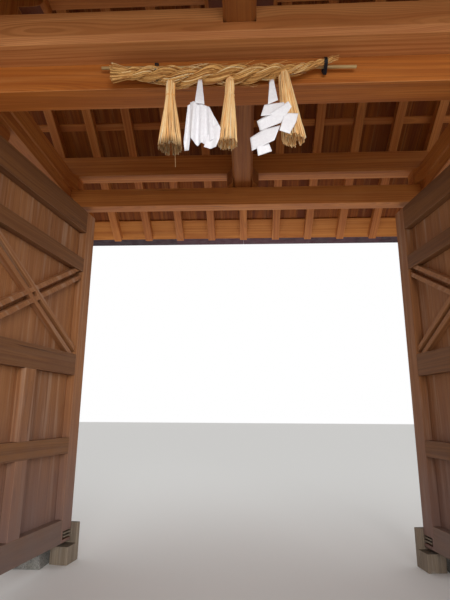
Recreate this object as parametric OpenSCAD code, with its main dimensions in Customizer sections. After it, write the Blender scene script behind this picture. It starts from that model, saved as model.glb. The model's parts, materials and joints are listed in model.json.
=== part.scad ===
// Roofed timber shrine gate: two main posts and two rear posts, a crown beam and
// door lintel, three arms across, a gable roof on rafters, two framed plank
// leaves on upright hinges, and a straw rope hung on the lintel.
// Millimetres. +Z is up, +X is the right of someone facing the gate, +Y is its
// rear. The origin is on the floor, straight under the ridge, midway across.

/* [Posts] */
// Distance from the middle of the gate to a post's centre
post_x = 2030; // [1980:10:2300]
// Width of a main post, across the gate
main_post_w = 340; // [260:5:420]
// Depth of a main post, front to back
main_post_d = 320; // [240:5:360]
// Distance of the main posts' rear face in front of the ridge
main_post_back = 425; // [380:5:520]
// Side of a square rear post
rear_post_w = 230; // [180:5:280]
// Chamfer on the posts' upright corners
post_chamfer = 18; // [6:1:30]
// Height of the stones that the posts stand on
base_h = 110; // [60:5:200]
// How far a base stone's foot reaches past its post
base_margin = 80; // [50:5:90]
// How much a base stone narrows from foot to top, each side
base_batter = 30; // [10:2:45]
// Height of the threshold between the main posts
threshold_h = 120; // [80:5:140]
// Depth of the threshold, front to back
threshold_d = 170; // [120:5:200]

/* [Door beams] */
// Height of the door lintel's underside above the floor
lintel_z = 3500; // [3300:10:3700]
// Height of the door lintel
lintel_h = 205; // [180:5:280]
// Depth of the door lintel, front to back
lintel_d = 205; // [160:5:300]
// Height of the crown beam that lies on the lintel
crown_h = 217; // [180:1:300]
// Depth of the crown beam, front to back
crown_d = 418; // [340:2:480]
// Chamfer along the crown beam's lower front edge
crown_chamfer = 32; // [10:1:50]
// How far the crown beam runs on past the centres of the main posts
crown_overhang = 420; // [300:10:560]

/* [Rear beams] */
// Distance of the rear beams' front face behind the ridge
rear_face = 1362; // [1250:2:1500]
// Height of the rear lintel
rear_lintel_h = 208; // [160:4:260]
// Depth of the rear lintel
rear_lintel_d = 150; // [120:5:220]
// How far the rear lintel runs on past the rear posts' centres
rear_lintel_overhang = 330; // [250:10:450]

/* [Arms] */
// Height of the arms' underside above the floor
arm_z = 3805; // [3780:5:3850]
// Height of an arm
arm_h = 205; // [190:5:240]
// Width of an arm
arm_w = 210; // [160:5:260]
// Chamfer along an arm's lower edges
arm_chamfer = 24; // [8:1:32]
// How far an arm's end reaches past the purlin
arm_nose = 170; // [110:5:220]
// How far each cheek of an arm swells out where it lands on the rear lintel
arm_swell = 70; // [30:5:90]
// Height of the deep tie under a side arm
side_tie_h = 120; // [90:5:160]
// Height of a thin tie between a main post and a rear post
thin_tie_h = 135; // [90:5:180]
// Thickness of a thin tie
thin_tie_t = 48; // [30:2:70]
// Height of the lower thin tie's underside
low_tie_z = 420; // [300:10:700]
// Height of the upper thin tie's underside
high_tie_z = 2350; // [2000:10:2700]
// How far the thin ties lie outside the posts' centres, clear of the open leaves
tie_shift = 70; // [55:5:85]
// Reach of the rounded bracket behind a main post
bracket_reach = 540; // [400:10:640]
// Width of the rounded bracket
bracket_w = 120; // [80:5:160]
// Height of the rounded bracket
bracket_h = 125; // [90:5:140]

/* [Roof] */
// Rise of the roof for each unit that it runs
roof_slope = 0.62; // [0.55:0.01:0.7]
// Height of the rafters' underside at the purlins' inner face
rafter_seat_z = 4210; // [4180:5:4280]
// Underside of the purlins above the floor
purlin_z = 3974; // [3955:1:4000]
// Depth of a purlin, front to back
purlin_d = 170; // [140:5:220]
// Depth of the ridge beam, front to back
ridge_d = 160; // [130:5:200]
// Height of the ridge beam's underside above the floor
ridge_z = 4925; // [4860:5:4960]
// Distance between the centres of two rafters
rafter_pitch = 415; // [380:5:450]
// Width of a rafter
rafter_w = 90; // [60:2:110]
// Depth of a rafter, square to the slope
rafter_d = 100; // [70:2:130]
// Rafters on each side of the middle one
rafters_each_side = 6; // [5:1:6]
// Level distance from the ridge to a rafter's tip
rafter_run = 2380; // [2200:10:2600]
// Thickness of the roof boards
board_t = 18; // [12:1:30]
// How far the roof boards run on past the rafters' tips, level
board_lip = 85; // [50:5:140]
// How far the copper-clad eave edge reaches past the boards, level
eave_reach = 245; // [150:5:300]
// How far that edge laps back over the boards, level
eave_lap = 150; // [80:5:220]
// Thickness of the copper-clad eave edge
eave_edge_t = 60; // [40:2:90]
// Thickness of the covered roof skin over the boards
skin_t = 34; // [20:1:50]
// Distance from the middle of the gate to a bargeboard's outer face
gable_x = 2780; // [2700:10:2900]
// Thickness of a bargeboard
bargeboard_t = 42; // [30:1:60]
// Depth of a bargeboard, square to the slope
bargeboard_d = 230; // [200:5:280]
// How far the roof skin runs on past the bargeboards
verge_lip = 70; // [40:5:110]
// Width of a lath across the roof boards
lath_w = 60; // [40:2:90]
// Thickness of a lath
lath_t = 14; // [8:1:20]
// Level distance from the ridge to a lath
lath_y = 1149; // [700:1:1200]
// Width of a ridge strut, across the gate
strut_w = 180; // [130:5:190]
// Height of the bolster on a ridge strut
bolster_h = 120; // [90:5:150]
// Length of the bolster on a ridge strut
bolster_l = 640; // [460:10:800]
// Height of the ridge cap above the roof skin's peak
cap_h = 210; // [150:5:260]
// Width of the ridge cap's body
cap_w = 250; // [200:5:320]
// Width of the ridge cap's top plank
cap_top_w = 330; // [280:5:400]

/* [Leaves] */
// Distance from the middle of the gate to a leaf's hinge axis
hinge_x = 1945; // [1900:1:1990]
// Gap between a closed leaf and the rear of the posts and lintel
leaf_stop_gap = 34; // [32:1:44]
// Distance of a hinge axis in front of the leaf's front face
hinge_set = 6; // [2:1:8]
// Gap between each closed leaf and the middle of the gate
meeting_gap = 10; // [5:1:14]
// Angle from closed at which the left leaf stands open
left_open = 82; // [75:0.5:88]
// Angle from closed at which the right leaf stands open
right_open = 82; // [75:0.5:88]
// Thickness of a leaf's frame
leaf_t = 120; // [110:2:126]
// Height of a leaf's lower edge above the floor
leaf_z = 188; // [180:1:230]
// How far a leaf's upper edge laps behind the door lintel
leaf_lap = 22; // [12:1:30]
// Width of a leaf's stiles
stile_w = 175; // [155:5:200]
// Height of a leaf's bottom rail
bottom_rail_h = 207; // [140:1:240]
// Height of a leaf's lower rail
lower_rail_h = 148; // [110:2:200]
// Height of a leaf's middle rail
middle_rail_h = 210; // [160:2:260]
// Height of a leaf's second rail from the top
upper_rail_h = 144; // [100:2:180]
// Height of a leaf's top rail
top_rail_h = 242; // [180:2:280]
// Height of the lower rail's underside above the floor
lower_rail_z = 995; // [850:5:1100]
// Height of the middle rail's underside above the floor
middle_rail_z = 1745; // [1600:5:1900]
// Height of the second rail's underside above the floor
upper_rail_z = 2835; // [2700:5:2900]
// Depth of a rail, from the frame's front to the planks
rail_d = 78; // [66:1:82]
// How far the stub at a rail's end is let into a stile
stub_l = 20; // [10:1:24]
// Thickness of that stub
stub_t = 30; // [20:1:40]
// Distance of a leaf's hinge-side edge from its hinge axis
hinge_inset = 30; // [28:1:40]
// Width of a muntin
muntin_w = 160; // [110:5:180]
// Distance of a muntin's middle from the hinge axis
muntin_x = 1020; // [950:5:1050]
// Thickness of the planks behind the rails
plank_t = 24; // [16:1:28]
// Width of one bar of a crossed brace
brace_w = 46; // [30:1:60]
// Gap between the two bars of a brace
brace_gap = 44; // [25:1:60]
// Thickness of a brace bar
brace_t = 61; // [30:1:64]

/* [Leaf irons] */
// Diameter of a hinge pin
pin_d = 26; // [18:1:30]
// Clearance around a hinge pin
pin_clear = 1; // [0.5:0.25:2]
// Wall of a hinge eye
eye_wall = 8; // [5:0.5:9]
// Height of a hinge eye
eye_h = 70; // [50:2:90]
// Length of a hinge strap along the leaf
strap_l = 180; // [100:5:190]
// Thickness of a hinge strap
strap_t = 7; // [5:0.5:9]
// Height of the lowest hinge eye's underside above the floor
hinge_low = 560; // [440:5:850]
// Height of the middle hinge eye's underside
hinge_mid = 2250; // [2020:5:2600]
// Height of the top hinge eye's underside
hinge_high = 3085; // [3020:5:3150]
// Length of the slot in a leaf's free lower corner
slot_l = 150; // [110:5:160]
// Height of that slot
slot_h = 72; // [66:2:90]
// Height of the slot's underside above the leaf's lower edge
slot_z = 28; // [15:1:40]

/* [Stop blocks] */
// Height of a stop block's low step
stop_low_h = 158; // [120:1:170]
// Height of a stop block's upright part
stop_high_h = 338; // [280:2:420]
// Width of a stop block, across the leaf
stop_w = 178; // [150:2:180]
// How far a stop block stands out in front of the open leaf's front
stop_proud = 60; // [20:2:80]
// Length of the low step, along the leaf
stop_step_l = 158; // [60:2:200]
// Thickness of the upright part, along the leaf
stop_upright_t = 52; // [30:2:90]
// Gap between the open leaf's end and the upright part
stop_gap = 12; // [6:1:25]
// Length of the two bars that reach from the upright into the leaf's slot
stop_bar_l = 136; // [60:2:140]
// Height of one of the bars
stop_bar_h = 15; // [10:1:17]

/* [Straw rope] */
// Length of the straw rope
rope_l = 1530; // [1300:10:1700]
// Greatest diameter of the straw rope
rope_d = 125; // [90:5:140]
// Diameter of the rope's cut butt end
butt_d = 165; // [130:5:180]
// Diameter of the rope's thin end
tip_d = 26; // [16:1:40]
// How far the rope's middle lies to the left of the gate's middle
rope_shift = 115; // [0:5:200]
// Height of the rope's centre above the lintel's underside
rope_rise = 50; // [20:5:90]
// Diameter of the bamboo pole behind the rope
pole_d = 22; // [14:1:30]
// Length of the bamboo pole
pole_l = 1690; // [1500:10:1900]
// How far the pole lies behind the rope's middle line
pole_set = 22; // [0:1:30]
// Length of a straw tassel
tassel_l = 530; // [420:10:600]
// Diameter of a tassel's lower end
tassel_d = 126; // [90:2:130]
// Diameter of a tassel's neck
tassel_neck_d = 52; // [36:2:70]
// Width of a paper streamer's panels
paper_w = 105; // [70:5:130]
// Drop of one panel of a paper streamer
paper_drop = 125; // [90:5:150]
// Thickness of a paper streamer's folded layers
paper_t = 6; // [3:0.5:10]

/* [Hidden] */
$fn = 48;

// Colours of the finishes
timber = "peru";
pale_timber = "burlywood";
dark_timber = "saddlebrown";
copper = "rosybrown";
stone = "darkgray";
iron = "dimgray";
straw = "tan";

// Places worked out from the sizes above
main_post_y = -main_post_back - main_post_d / 2;
lintel_y = -main_post_back - lintel_d;
crown_z = lintel_z + lintel_h;
crown_top = crown_z + crown_h;
crown_y = -main_post_back - crown_d;
rear_post_y = rear_face + rear_lintel_d / 2;
rear_lintel_z = arm_z - rear_lintel_h;
arm_top = arm_z + arm_h;
arm_end = rear_face + purlin_d + arm_nose;
hinge_y = -main_post_back + leaf_stop_gap - hinge_set;
leaf_w = hinge_x - meeting_gap;
leaf_top = lintel_z + leaf_lap;
// Depths in a closed leaf: its front, its rear and the planks' front
leaf_front = hinge_set;
leaf_back = leaf_front + leaf_t;
plank_y = leaf_front + rail_d;
slope_angle = atan(roof_slope);
// Height of the rafters' underside straight under the ridge line
rafter_peak = rafter_seat_z + roof_slope * rear_face;
// Upright thicknesses of what lies on the slope
rafter_v = rafter_d / cos(slope_angle);
board_v = board_t / cos(slope_angle);
skin_v = skin_t / cos(slope_angle);
board_peak = rafter_peak + rafter_v;
skin_peak = board_peak + board_v;
board_run = rafter_run + board_lip;
eave_run = board_run + eave_reach;
edge_start = board_run - eave_lap;
beam_half = gable_x - bargeboard_t;
// The covering's underside: straight from the ridge to the top of the eave edge
eave_z = board_peak - roof_slope * board_run;
eave_top = eave_z + eave_edge_t;
cover_slope = (skin_peak - eave_top) / eave_run;
function cover_z(y) = skin_peak - cover_slope * y;
lintel_housing = 60;
// Clearance where two pieces bear on each other along the covering's slope
seat_clear = 0.3;
// Undersides and tops of a leaf's rails
rail_heights = [[leaf_z, leaf_z + bottom_rail_h], [lower_rail_z, lower_rail_z + lower_rail_h],
                [middle_rail_z, middle_rail_z + middle_rail_h], [upper_rail_z, upper_rail_z + upper_rail_h],
                [leaf_top - top_rail_h, leaf_top]];
hinge_heights = [hinge_low, hinge_mid, hinge_high];
// Room under a hinge eye, thickness of a pintle's shank, and the pin's rise above the eye
eye_seat = 2;
shank_h = 20;
pin_rise = 8;
// Where the rope, its pole and what hangs from it lie
rope_gap = 4;
rope_z = lintel_z + rope_rise;
rope_y = lintel_y - rope_gap - rope_d / 2;
// The pole lies on the rope's thickest stretch, behind its crest
pole_y = rope_y + pole_set;
pole_z = rope_z + sqrt(pow((rope_d + pole_d) / 2, 2) - pow(pole_set, 2));
// The rope is turned a little, so that its thick butt stands clear of the pole
butt_clear = 2;
butt_set = sqrt(pow((butt_d + pole_d) / 2 + butt_clear, 2) - pow(pole_z - rope_z, 2));
rope_turn_angle = asin((butt_set - pole_set) / (rope_l / 2));
// Radius of the rope at shares of its length
rope_radii = [[0, butt_d / 2], [0.04, butt_d * 0.46], [0.1, rope_d * 0.42], [0.16, rope_d * 0.45],
              [0.26, rope_d / 2], [0.5, rope_d / 2], [0.66, rope_d * 0.4], [0.8, rope_d * 0.26],
              [1, tip_d / 2]];
tassel_shares = [0.281, 0.531, 0.767];
paper_shares = [0.407, 0.709];
tie_shares = [0.2, 0.93];
tie_t = 4;
tie_w = 20;
nail_d = 6;
// Thickness of the paper tongue that is tucked under the rope's strands
tongue_h = 8;

// A beam that runs across the gate, from a profile drawn front to back and upwards
module across(half, from = undef) {
    start = is_undef(from) ? -half : from;
    translate([start, 0, 0])
        rotate([90, 0, 90])
            linear_extrude(half - start)
                children();
}

// A beam that runs front to back, from a profile drawn upwards over its length
module along(width) {
    translate([-width / 2, 0, 0])
        rotate([90, 0, 90])
            linear_extrude(width)
                children();
}

// A square outline with its four corners cut off
module chamfered(w, d, c) {
    polygon([[-w / 2 + c, -d / 2], [w / 2 - c, -d / 2], [w / 2, -d / 2 + c], [w / 2, d / 2 - c],
             [w / 2 - c, d / 2], [-w / 2 + c, d / 2], [-w / 2, d / 2 - c], [-w / 2, -d / 2 + c]]);
}

// A post's shaft, centred on its own line
module post(w, d, bottom, top) {
    translate([0, 0, bottom])
        linear_extrude(top - bottom)
            chamfered(w, d, post_chamfer);
}

// A stone that narrows upwards on all four sides
module base_stone(w, d) {
    foot_w = w + 2 * base_margin;
    foot_d = d + 2 * base_margin;
    intersection() {
        along(foot_w)
            polygon([[-foot_d / 2, 0], [foot_d / 2, 0],
                     [foot_d / 2 - base_batter, base_h], [-foot_d / 2 + base_batter, base_h]]);
        rotate([90, 0, 0])
            linear_extrude(foot_d, center = true)
                polygon([[-foot_w / 2, 0], [foot_w / 2, 0],
                         [foot_w / 2 - base_batter, base_h], [-foot_w / 2 + base_batter, base_h]]);
    }
}

module main_post(side) {
    color(timber)
        difference() {
            translate([side * post_x, main_post_y, 0])
                post(main_post_w, main_post_d, base_h, crown_z);
            lintel_volume();
        }
}

module rear_post(side) {
    color(timber)
        translate([side * post_x, rear_post_y, 0])
            post(rear_post_w, rear_post_w, base_h, rear_lintel_z);
}

module base_stones() {
    color(stone)
        for (side = [-1, 1]) {
            translate([side * post_x, main_post_y, 0])
                base_stone(main_post_w, main_post_d);
            translate([side * post_x, rear_post_y, 0])
                base_stone(rear_post_w, rear_post_w);
        }
}

module threshold() {
    color(dark_timber)
        difference() {
            translate([-post_x, main_post_y - threshold_d / 2, 0])
                cube([2 * post_x, threshold_d, threshold_h]);
            for (side = [-1, 1])
                translate([side * post_x, main_post_y, 0]) {
                    base_stone(main_post_w, main_post_d);
                    translate([-main_post_w / 2, -main_post_d / 2, base_h])
                        cube([main_post_w, main_post_d, threshold_h]);
                }
        }
}

// The lintel is housed a little way into each main post
module lintel_volume() {
    lintel_half = post_x - main_post_w / 2 + lintel_housing;
    translate([-lintel_half, lintel_y, lintel_z])
        cube([2 * lintel_half, lintel_d, lintel_h]);
}

module door_lintel() {
    color(timber)
        lintel_volume();
}

module crown_beam() {
    half = post_x + crown_overhang;
    color(timber)
        difference() {
            across(half)
                polygon([[crown_y + crown_chamfer, crown_z], [-main_post_back, crown_z],
                         [-main_post_back, crown_top], [crown_y, crown_top],
                         [crown_y, crown_z + crown_chamfer]]);
            for (x = [-post_x, 0, post_x])
                translate([x - arm_w / 2, crown_y - 1, arm_z])
                    cube([arm_w, crown_d + 2, arm_h]);
        }
}

module rear_lintel() {
    color(timber)
        translate([-post_x - rear_lintel_overhang, rear_face, rear_lintel_z])
            cube([2 * (post_x + rear_lintel_overhang), rear_lintel_d, rear_lintel_h]);
}

// Profile of a purlin behind the ridge, its top bevelled to the rafters' slope
module purlin_profile() {
    polygon([[rear_face, purlin_z], [rear_face + purlin_d, purlin_z],
             [rear_face + purlin_d, rafter_peak - roof_slope * (rear_face + purlin_d)],
             [rear_face, rafter_seat_z]]);
}

module purlin(side) {
    color(timber)
        mirror([0, side < 0 ? 1 : 0, 0])
            across(beam_half)
                purlin_profile();
}

// Half of an arm's outline in plan at the purlin, with the swell's hollow sweep
module arm_swelling() {
    sweep_l = 3 * arm_swell;
    sweep_r = (sweep_l * sweep_l + arm_swell * arm_swell) / (2 * arm_swell);
    for (side = [-1, 1])
        difference() {
            translate([side > 0 ? arm_w / 2 - 1 : -arm_w / 2 - arm_swell, rear_face - sweep_l, arm_z])
                cube([arm_swell + 1, sweep_l + rear_lintel_d, purlin_z - arm_z]);
            translate([side * (arm_w / 2 + sweep_r), rear_face - sweep_l, arm_z - 1])
                cylinder(r = sweep_r, h = arm_h, $fn = 96);
        }
}

// One arm, bevelled under the rafters at both ends, with rounded noses
module arm(x) {
    nose_top = min(arm_top, rafter_peak - roof_slope * arm_end);
    bevel_start = (rafter_peak - arm_top) / roof_slope;
    round_r = arm_nose * 0.75;
    half_profile = concat(
        [for (a = [0:10:90])
            [arm_end - round_r + round_r * sin(a), arm_z + round_r * 0.6 * (1 - cos(a))]],
        [[arm_end, nose_top], [min(bevel_start, arm_end), arm_top]]);
    mirrored = [for (i = [len(half_profile) - 1:-1:0]) [-half_profile[i][0], half_profile[i][1]]];
    color(timber)
        translate([x, 0, 0])
            difference() {
                union() {
                    intersection() {
                        along(arm_w)
                            polygon(concat(half_profile, mirrored));
                        rotate([90, 0, 0])
                            linear_extrude(2 * arm_end + 2, center = true)
                                polygon([[-arm_w / 2 + arm_chamfer, arm_z], [arm_w / 2 - arm_chamfer, arm_z],
                                         [arm_w / 2, arm_z + arm_chamfer], [arm_w / 2, arm_top + 1],
                                         [-arm_w / 2, arm_top + 1], [-arm_w / 2, arm_z + arm_chamfer]]);
                    }
                    arm_swelling();
                    mirror([0, 1, 0])
                        arm_swelling();
                }
                for (side = [0, 1])
                    mirror([0, side, 0])
                        across(arm_w)
                            purlin_profile();
            }
}

// The deep tie under a side arm, and two thin ties between the posts below it
module side_ties(side) {
    color(timber)
        translate([side * post_x, 0, 0]) {
            translate([-arm_w / 2, -main_post_back, arm_z - side_tie_h])
                cube([arm_w, rear_face + main_post_back, side_tie_h]);
            for (z = [low_tie_z, high_tie_z])
                translate([side * tie_shift - thin_tie_t / 2, -main_post_back, z])
                    cube([thin_tie_t, rear_post_y - rear_post_w / 2 + main_post_back, thin_tie_h]);
        }
}

// Brackets behind the main posts, rounded below like a boat's stern
module post_brackets() {
    top = arm_z - side_tie_h;
    tail = bracket_h * 0.8;
    color(dark_timber)
        for (side = [-1, 1])
            translate([side * post_x, -main_post_back, 0])
                along(bracket_w)
                    polygon(concat(
                        [[0, top], [0, top - bracket_h]],
                        [for (a = [0:10:90])
                            [bracket_reach - tail + tail * sin(a), top - bracket_h + bracket_h * 0.8 * (1 - cos(a))]],
                        [[bracket_reach, top]]));
}

module ridge_beam() {
    half = ridge_d / 2;
    color(timber)
        across(beam_half)
            polygon([[-half, ridge_z], [half, ridge_z], [half, rafter_peak - roof_slope * half],
                     [0, rafter_peak], [-half, rafter_peak - roof_slope * half]]);
}

// Struts on the arms, each with a boat-shaped bolster under the ridge beam
module ridge_struts() {
    bow = bolster_h * 0.9;
    bottom = ridge_z - bolster_h;
    color(timber)
        for (x = [-post_x, 0, post_x])
            translate([x, 0, 0]) {
                translate([-strut_w / 2, -ridge_d / 2, arm_top])
                    cube([strut_w, ridge_d, bottom - arm_top]);
                translate([0, ridge_d / 2, 0])
                    rotate([90, 0, 0])
                        linear_extrude(ridge_d)
                            polygon(concat(
                                [for (a = [0:10:90])
                                    [bolster_l / 2 - bow + bow * sin(a), bottom + bow * 0.6 * (1 - cos(a))]],
                                [[bolster_l / 2, ridge_z], [-bolster_l / 2, ridge_z]],
                                [for (a = [90:-10:0])
                                    [-bolster_l / 2 + bow - bow * sin(a), bottom + bow * 0.6 * (1 - cos(a))]]));
            }
}

// Rafters of the slope behind the ridge, their tips cut square
module rafters(side) {
    tip_z = rafter_peak - roof_slope * rafter_run;
    color(timber)
        mirror([0, side < 0 ? 1 : 0, 0])
            for (k = [-rafters_each_side:rafters_each_side])
                translate([k * rafter_pitch, 0, 0])
                    along(rafter_w)
                        polygon([[0, rafter_peak], [rafter_run, tip_z],
                                 [rafter_run + rafter_d * sin(slope_angle), tip_z + rafter_d * cos(slope_angle)],
                                 [0, board_peak]]);
}

// Laths under the roof boards, one between each two rafters
module roof_laths() {
    lath_v = lath_t / cos(slope_angle);
    inner = board_peak - roof_slope * (lath_y - lath_w / 2);
    outer = board_peak - roof_slope * (lath_y + lath_w / 2);
    color(timber)
        for (side = [0, 1], k = [-rafters_each_side:rafters_each_side - 1])
            mirror([0, side, 0])
                across((k + 1) * rafter_pitch - rafter_w / 2, k * rafter_pitch + rafter_w / 2)
                    polygon([[lath_y - lath_w / 2, inner], [lath_y - lath_w / 2, inner - lath_v],
                             [lath_y + lath_w / 2, outer - lath_v], [lath_y + lath_w / 2, outer]]);
}

module roof_boards(side) {
    color(pale_timber)
        mirror([0, side < 0 ? 1 : 0, 0])
            across(beam_half)
                polygon([[0, board_peak], [board_run, board_peak - roof_slope * board_run],
                         [board_run, skin_peak - roof_slope * board_run], [0, skin_peak]]);
}

// The copper-clad edge beyond the boards, level underneath
module eave_edge(side) {
    color(copper)
        mirror([0, side < 0 ? 1 : 0, 0])
            across(beam_half)
                polygon([[board_run, eave_z], [eave_run, eave_z], [eave_run, eave_top],
                         [edge_start, cover_z(edge_start)], [edge_start, skin_peak - roof_slope * edge_start],
                         [board_run, skin_peak - roof_slope * board_run]]);
}

// The roof's covering: a packing that thickens towards the eave, under one skin
module roof_skin(side) {
    color(copper)
        mirror([0, side < 0 ? 1 : 0, 0]) {
            across(beam_half)
                polygon([[0, skin_peak], [edge_start, skin_peak - roof_slope * edge_start],
                         [edge_start, cover_z(edge_start) + 1], [0, skin_peak + 1]]);
            across(gable_x + verge_lip)
                polygon([[0, skin_peak], [eave_run, eave_top], [eave_run, eave_top + skin_v],
                         [0, skin_peak + skin_v]]);
        }
}

// The cap along the ridge: a body that straddles the skins, and a wider top plank
module ridge_cap() {
    cap_top = skin_peak + skin_v + cap_h;
    plank = cap_h * 0.25;
    foot = cap_w / 2;
    seat = skin_peak + skin_v + seat_clear;
    color(copper)
        across(gable_x + verge_lip / 2)
            polygon([[0, seat], [foot, seat - cover_slope * foot],
                     [foot, cap_top - plank], [cap_top_w / 2, cap_top - plank],
                     [cap_top_w / 2, cap_top - plank * 0.3], [0, cap_top],
                     [-cap_top_w / 2, cap_top - plank * 0.3], [-cap_top_w / 2, cap_top - plank],
                     [-foot, cap_top - plank], [-foot, seat - cover_slope * foot]]);
}

// The two boards that close one gable under the skin's edge
module bargeboards(side) {
    drop = bargeboard_d / cos(atan(cover_slope));
    run = eave_run - bargeboard_t;
    color(timber)
        for (face = [0, 1])
            mirror([0, face, 0])
                across(side > 0 ? gable_x : -beam_half, side > 0 ? beam_half : -gable_x)
                    polygon([[0, skin_peak - seat_clear], [0, skin_peak - drop], [run, cover_z(run) - drop],
                             [run, cover_z(run) - seat_clear]]);
}

// Everything of a leaf is drawn closed, with its hinge axis at the origin and
// the leaf running along +X, then turned open and put on its hinge.
module hung(side) {
    mirror([side > 0 ? 1 : 0, 0, 0])
        translate([-hinge_x, hinge_y, 0])
            rotate([0, 0, side > 0 ? right_open : left_open])
                children();
}

// A box of a leaf between two places along it, two depths and two heights
module piece(x, y, z) {
    translate([x[0], y[0], z[0]])
        cube([x[1] - x[0], y[1] - y[0], z[1] - z[0]]);
}

// The open-ended slot in the free lower corner that the stop's bars reach into
module corner_slot() {
    piece([leaf_w - slot_l, leaf_w + 1], [leaf_front - 1, leaf_back + 1],
          [leaf_z + slot_z, leaf_z + slot_z + slot_h]);
}

module leaf_uprights(side) {
    color(timber)
        hung(side) {
            difference() {
                for (x = [hinge_inset, leaf_w - stile_w])
                    piece([x, x + stile_w], [leaf_front, leaf_back], [leaf_z, leaf_top]);
                rail_volumes();
                corner_slot();
            }
            for (z = [[leaf_z + bottom_rail_h, lower_rail_z], [lower_rail_z + lower_rail_h, middle_rail_z]])
                piece([muntin_x - muntin_w / 2, muntin_x + muntin_w / 2], [leaf_front, plank_y], z);
        }
}

// The five rails, flush with the stiles, each with a stub let into them at both ends
module rail_volumes() {
    span = [hinge_inset + stile_w, leaf_w - stile_w];
    stub_set = (rail_d - stub_t) / 2;
    for (z = rail_heights) {
        piece(span, [leaf_front, plank_y], z);
        piece([span[0] - stub_l, span[1] + stub_l], [leaf_front + stub_set, plank_y - stub_set], z);
    }
}

module leaf_rails(side) {
    color(timber)
        hung(side)
            difference() {
                rail_volumes();
                corner_slot();
            }
}

module leaf_planks(side) {
    color(pale_timber)
        hung(side)
            piece([hinge_inset + stile_w, leaf_w - stile_w], [plank_y, plank_y + plank_t],
                  [leaf_z, leaf_top]);
}

// A pair of bars from corner to corner of the tall panel
module brace_pair(rise) {
    panel_w = leaf_w - hinge_inset - 2 * stile_w;
    panel_h = upper_rail_z - middle_rail_z - middle_rail_h;
    lean = atan(panel_h / panel_w);
    reach = norm([panel_w, panel_h]);
    translate([hinge_inset + stile_w + panel_w / 2, plank_y, middle_rail_z + middle_rail_h + panel_h / 2])
        rotate([0, -rise * lean, 0])
            for (gap = [-1, 1])
                translate([-reach / 2, -brace_t, gap * (brace_gap + brace_w) / 2 - brace_w / 2])
                    cube([reach, brace_t, brace_w]);
}

module leaf_braces(side) {
    color(timber)
        hung(side)
            intersection() {
                piece([hinge_inset + stile_w, leaf_w - stile_w], [leaf_front, plank_y],
                      [middle_rail_z + middle_rail_h, upper_rail_z]);
                union() {
                    brace_pair(1);
                    brace_pair(-1);
                }
            }
}

// Hinge eyes around the axis, each with a strap on the front of the stile
module leaf_irons(side) {
    eye_r = pin_d / 2 + pin_clear + eye_wall;
    color(iron)
        hung(side)
            for (z = hinge_heights)
                translate([0, 0, z])
                    difference() {
                        union() {
                            cylinder(r = eye_r, h = eye_h);
                            translate([0, leaf_front - strap_t, 0])
                                cube([strap_l, strap_t, eye_h]);
                        }
                        translate([0, 0, -1])
                            cylinder(d = pin_d + 2 * pin_clear, h = eye_h + 2);
                    }
}

// Pins on shanks driven into the main posts' rear faces
module hinge_pintles() {
    color(iron)
        for (side = [-1, 1], z = hinge_heights)
            translate([side * hinge_x, hinge_y, z - eye_seat - shank_h]) {
                cylinder(d = pin_d, h = shank_h + eye_seat + eye_h + pin_rise);
                translate([-pin_d / 2, -hinge_y - main_post_back, 0])
                    cube([pin_d, hinge_y + main_post_back, shank_h]);
            }
}

// The block that an open leaf's end stands over, with an upright board beyond
// it and two bars that reach from the board into the leaf's slot
module stop_block(side) {
    start = leaf_w + stop_gap;
    depth = [leaf_front - stop_proud, leaf_front - stop_proud + stop_w];
    bar_gap = (slot_h - 2 * stop_bar_h) / 3;
    color(stone)
        hung(side) {
            piece([start - stop_step_l, start + stop_upright_t], depth, [0, stop_low_h]);
            piece([start, start + stop_upright_t], depth, [0, stop_high_h]);
            for (k = [0, 1]) {
                bar_z = leaf_z + slot_z + bar_gap + k * (stop_bar_h + bar_gap);
                piece([start - stop_bar_l, start + 1], [leaf_front, plank_y], [bar_z, bar_z + stop_bar_h]);
            }
        }
}

module rope_pole() {
    color(pale_timber)
        translate([-rope_shift - pole_l / 2, pole_y, pole_z])
            rotate([0, 90, 0])
                cylinder(d = pole_d, h = pole_l);
}

// The rope, thick at its cut butt on the left and thin at its tip on the right
module rope_volume() {
    rope_line()
        rotate([0, 90, 0])
            rotate_extrude()
                polygon(concat([[0, 0]], [for (r = rope_radii) [r[1], r[0] * rope_l]], [[0, rope_l]]));
}

// Puts what is drawn along +X from the rope's butt on the rope's own line
module rope_line() {
    translate([-rope_shift, rope_y, rope_z])
        rotate([0, 0, rope_turn_angle])
            translate([-rope_l / 2, 0, 0])
                children();
}

module straw_rope() {
    color(straw)
        rope_volume();
}

// Bundles of straw that hang from the rope's underside
module straw_tassels() {
    color(straw)
        difference() {
            for (share = tassel_shares)
                rope_line()
                    translate([share * rope_l, 0, -rope_d / 2 - tassel_l])
                        rotate_extrude()
                            polygon([[0, 0], [tassel_d / 2, 0], [tassel_d * 0.4, tassel_l * 0.35],
                                     [tassel_neck_d * 0.62, tassel_l * 0.8],
                                     [tassel_neck_d / 2, tassel_l * 0.9],
                                     [tassel_neck_d / 2, tassel_l + rope_d / 2], [0, tassel_l + rope_d / 2]]);
            rope_volume();
        }
}

// Paper strips folded so that each panel hangs a little to one side of the last,
// each held by a tongue that is tucked under the rope's strands
module paper_streamers() {
    plane = -(tassel_d / 2 + 2 * paper_t);
    color("white")
        difference() {
            for (share = paper_shares)
                rope_line()
                    translate([share * rope_l, plane, 0]) {
                        translate([-paper_w / 6, 0, -tongue_h / 2])
                            cube([paper_w / 3, -plane, tongue_h]);
                        translate([-paper_w / 2, 0, -paper_drop])
                            cube([paper_w, paper_t, paper_drop + tongue_h / 2]);
                        for (k = [0:2])
                            translate([(k - 1) * paper_w * 0.55 - paper_w / 2, 0, -(k + 1.95) * paper_drop])
                                cube([paper_w, paper_t, paper_drop * 1.1]);
                    }
            rope_volume();
        }
}

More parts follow.
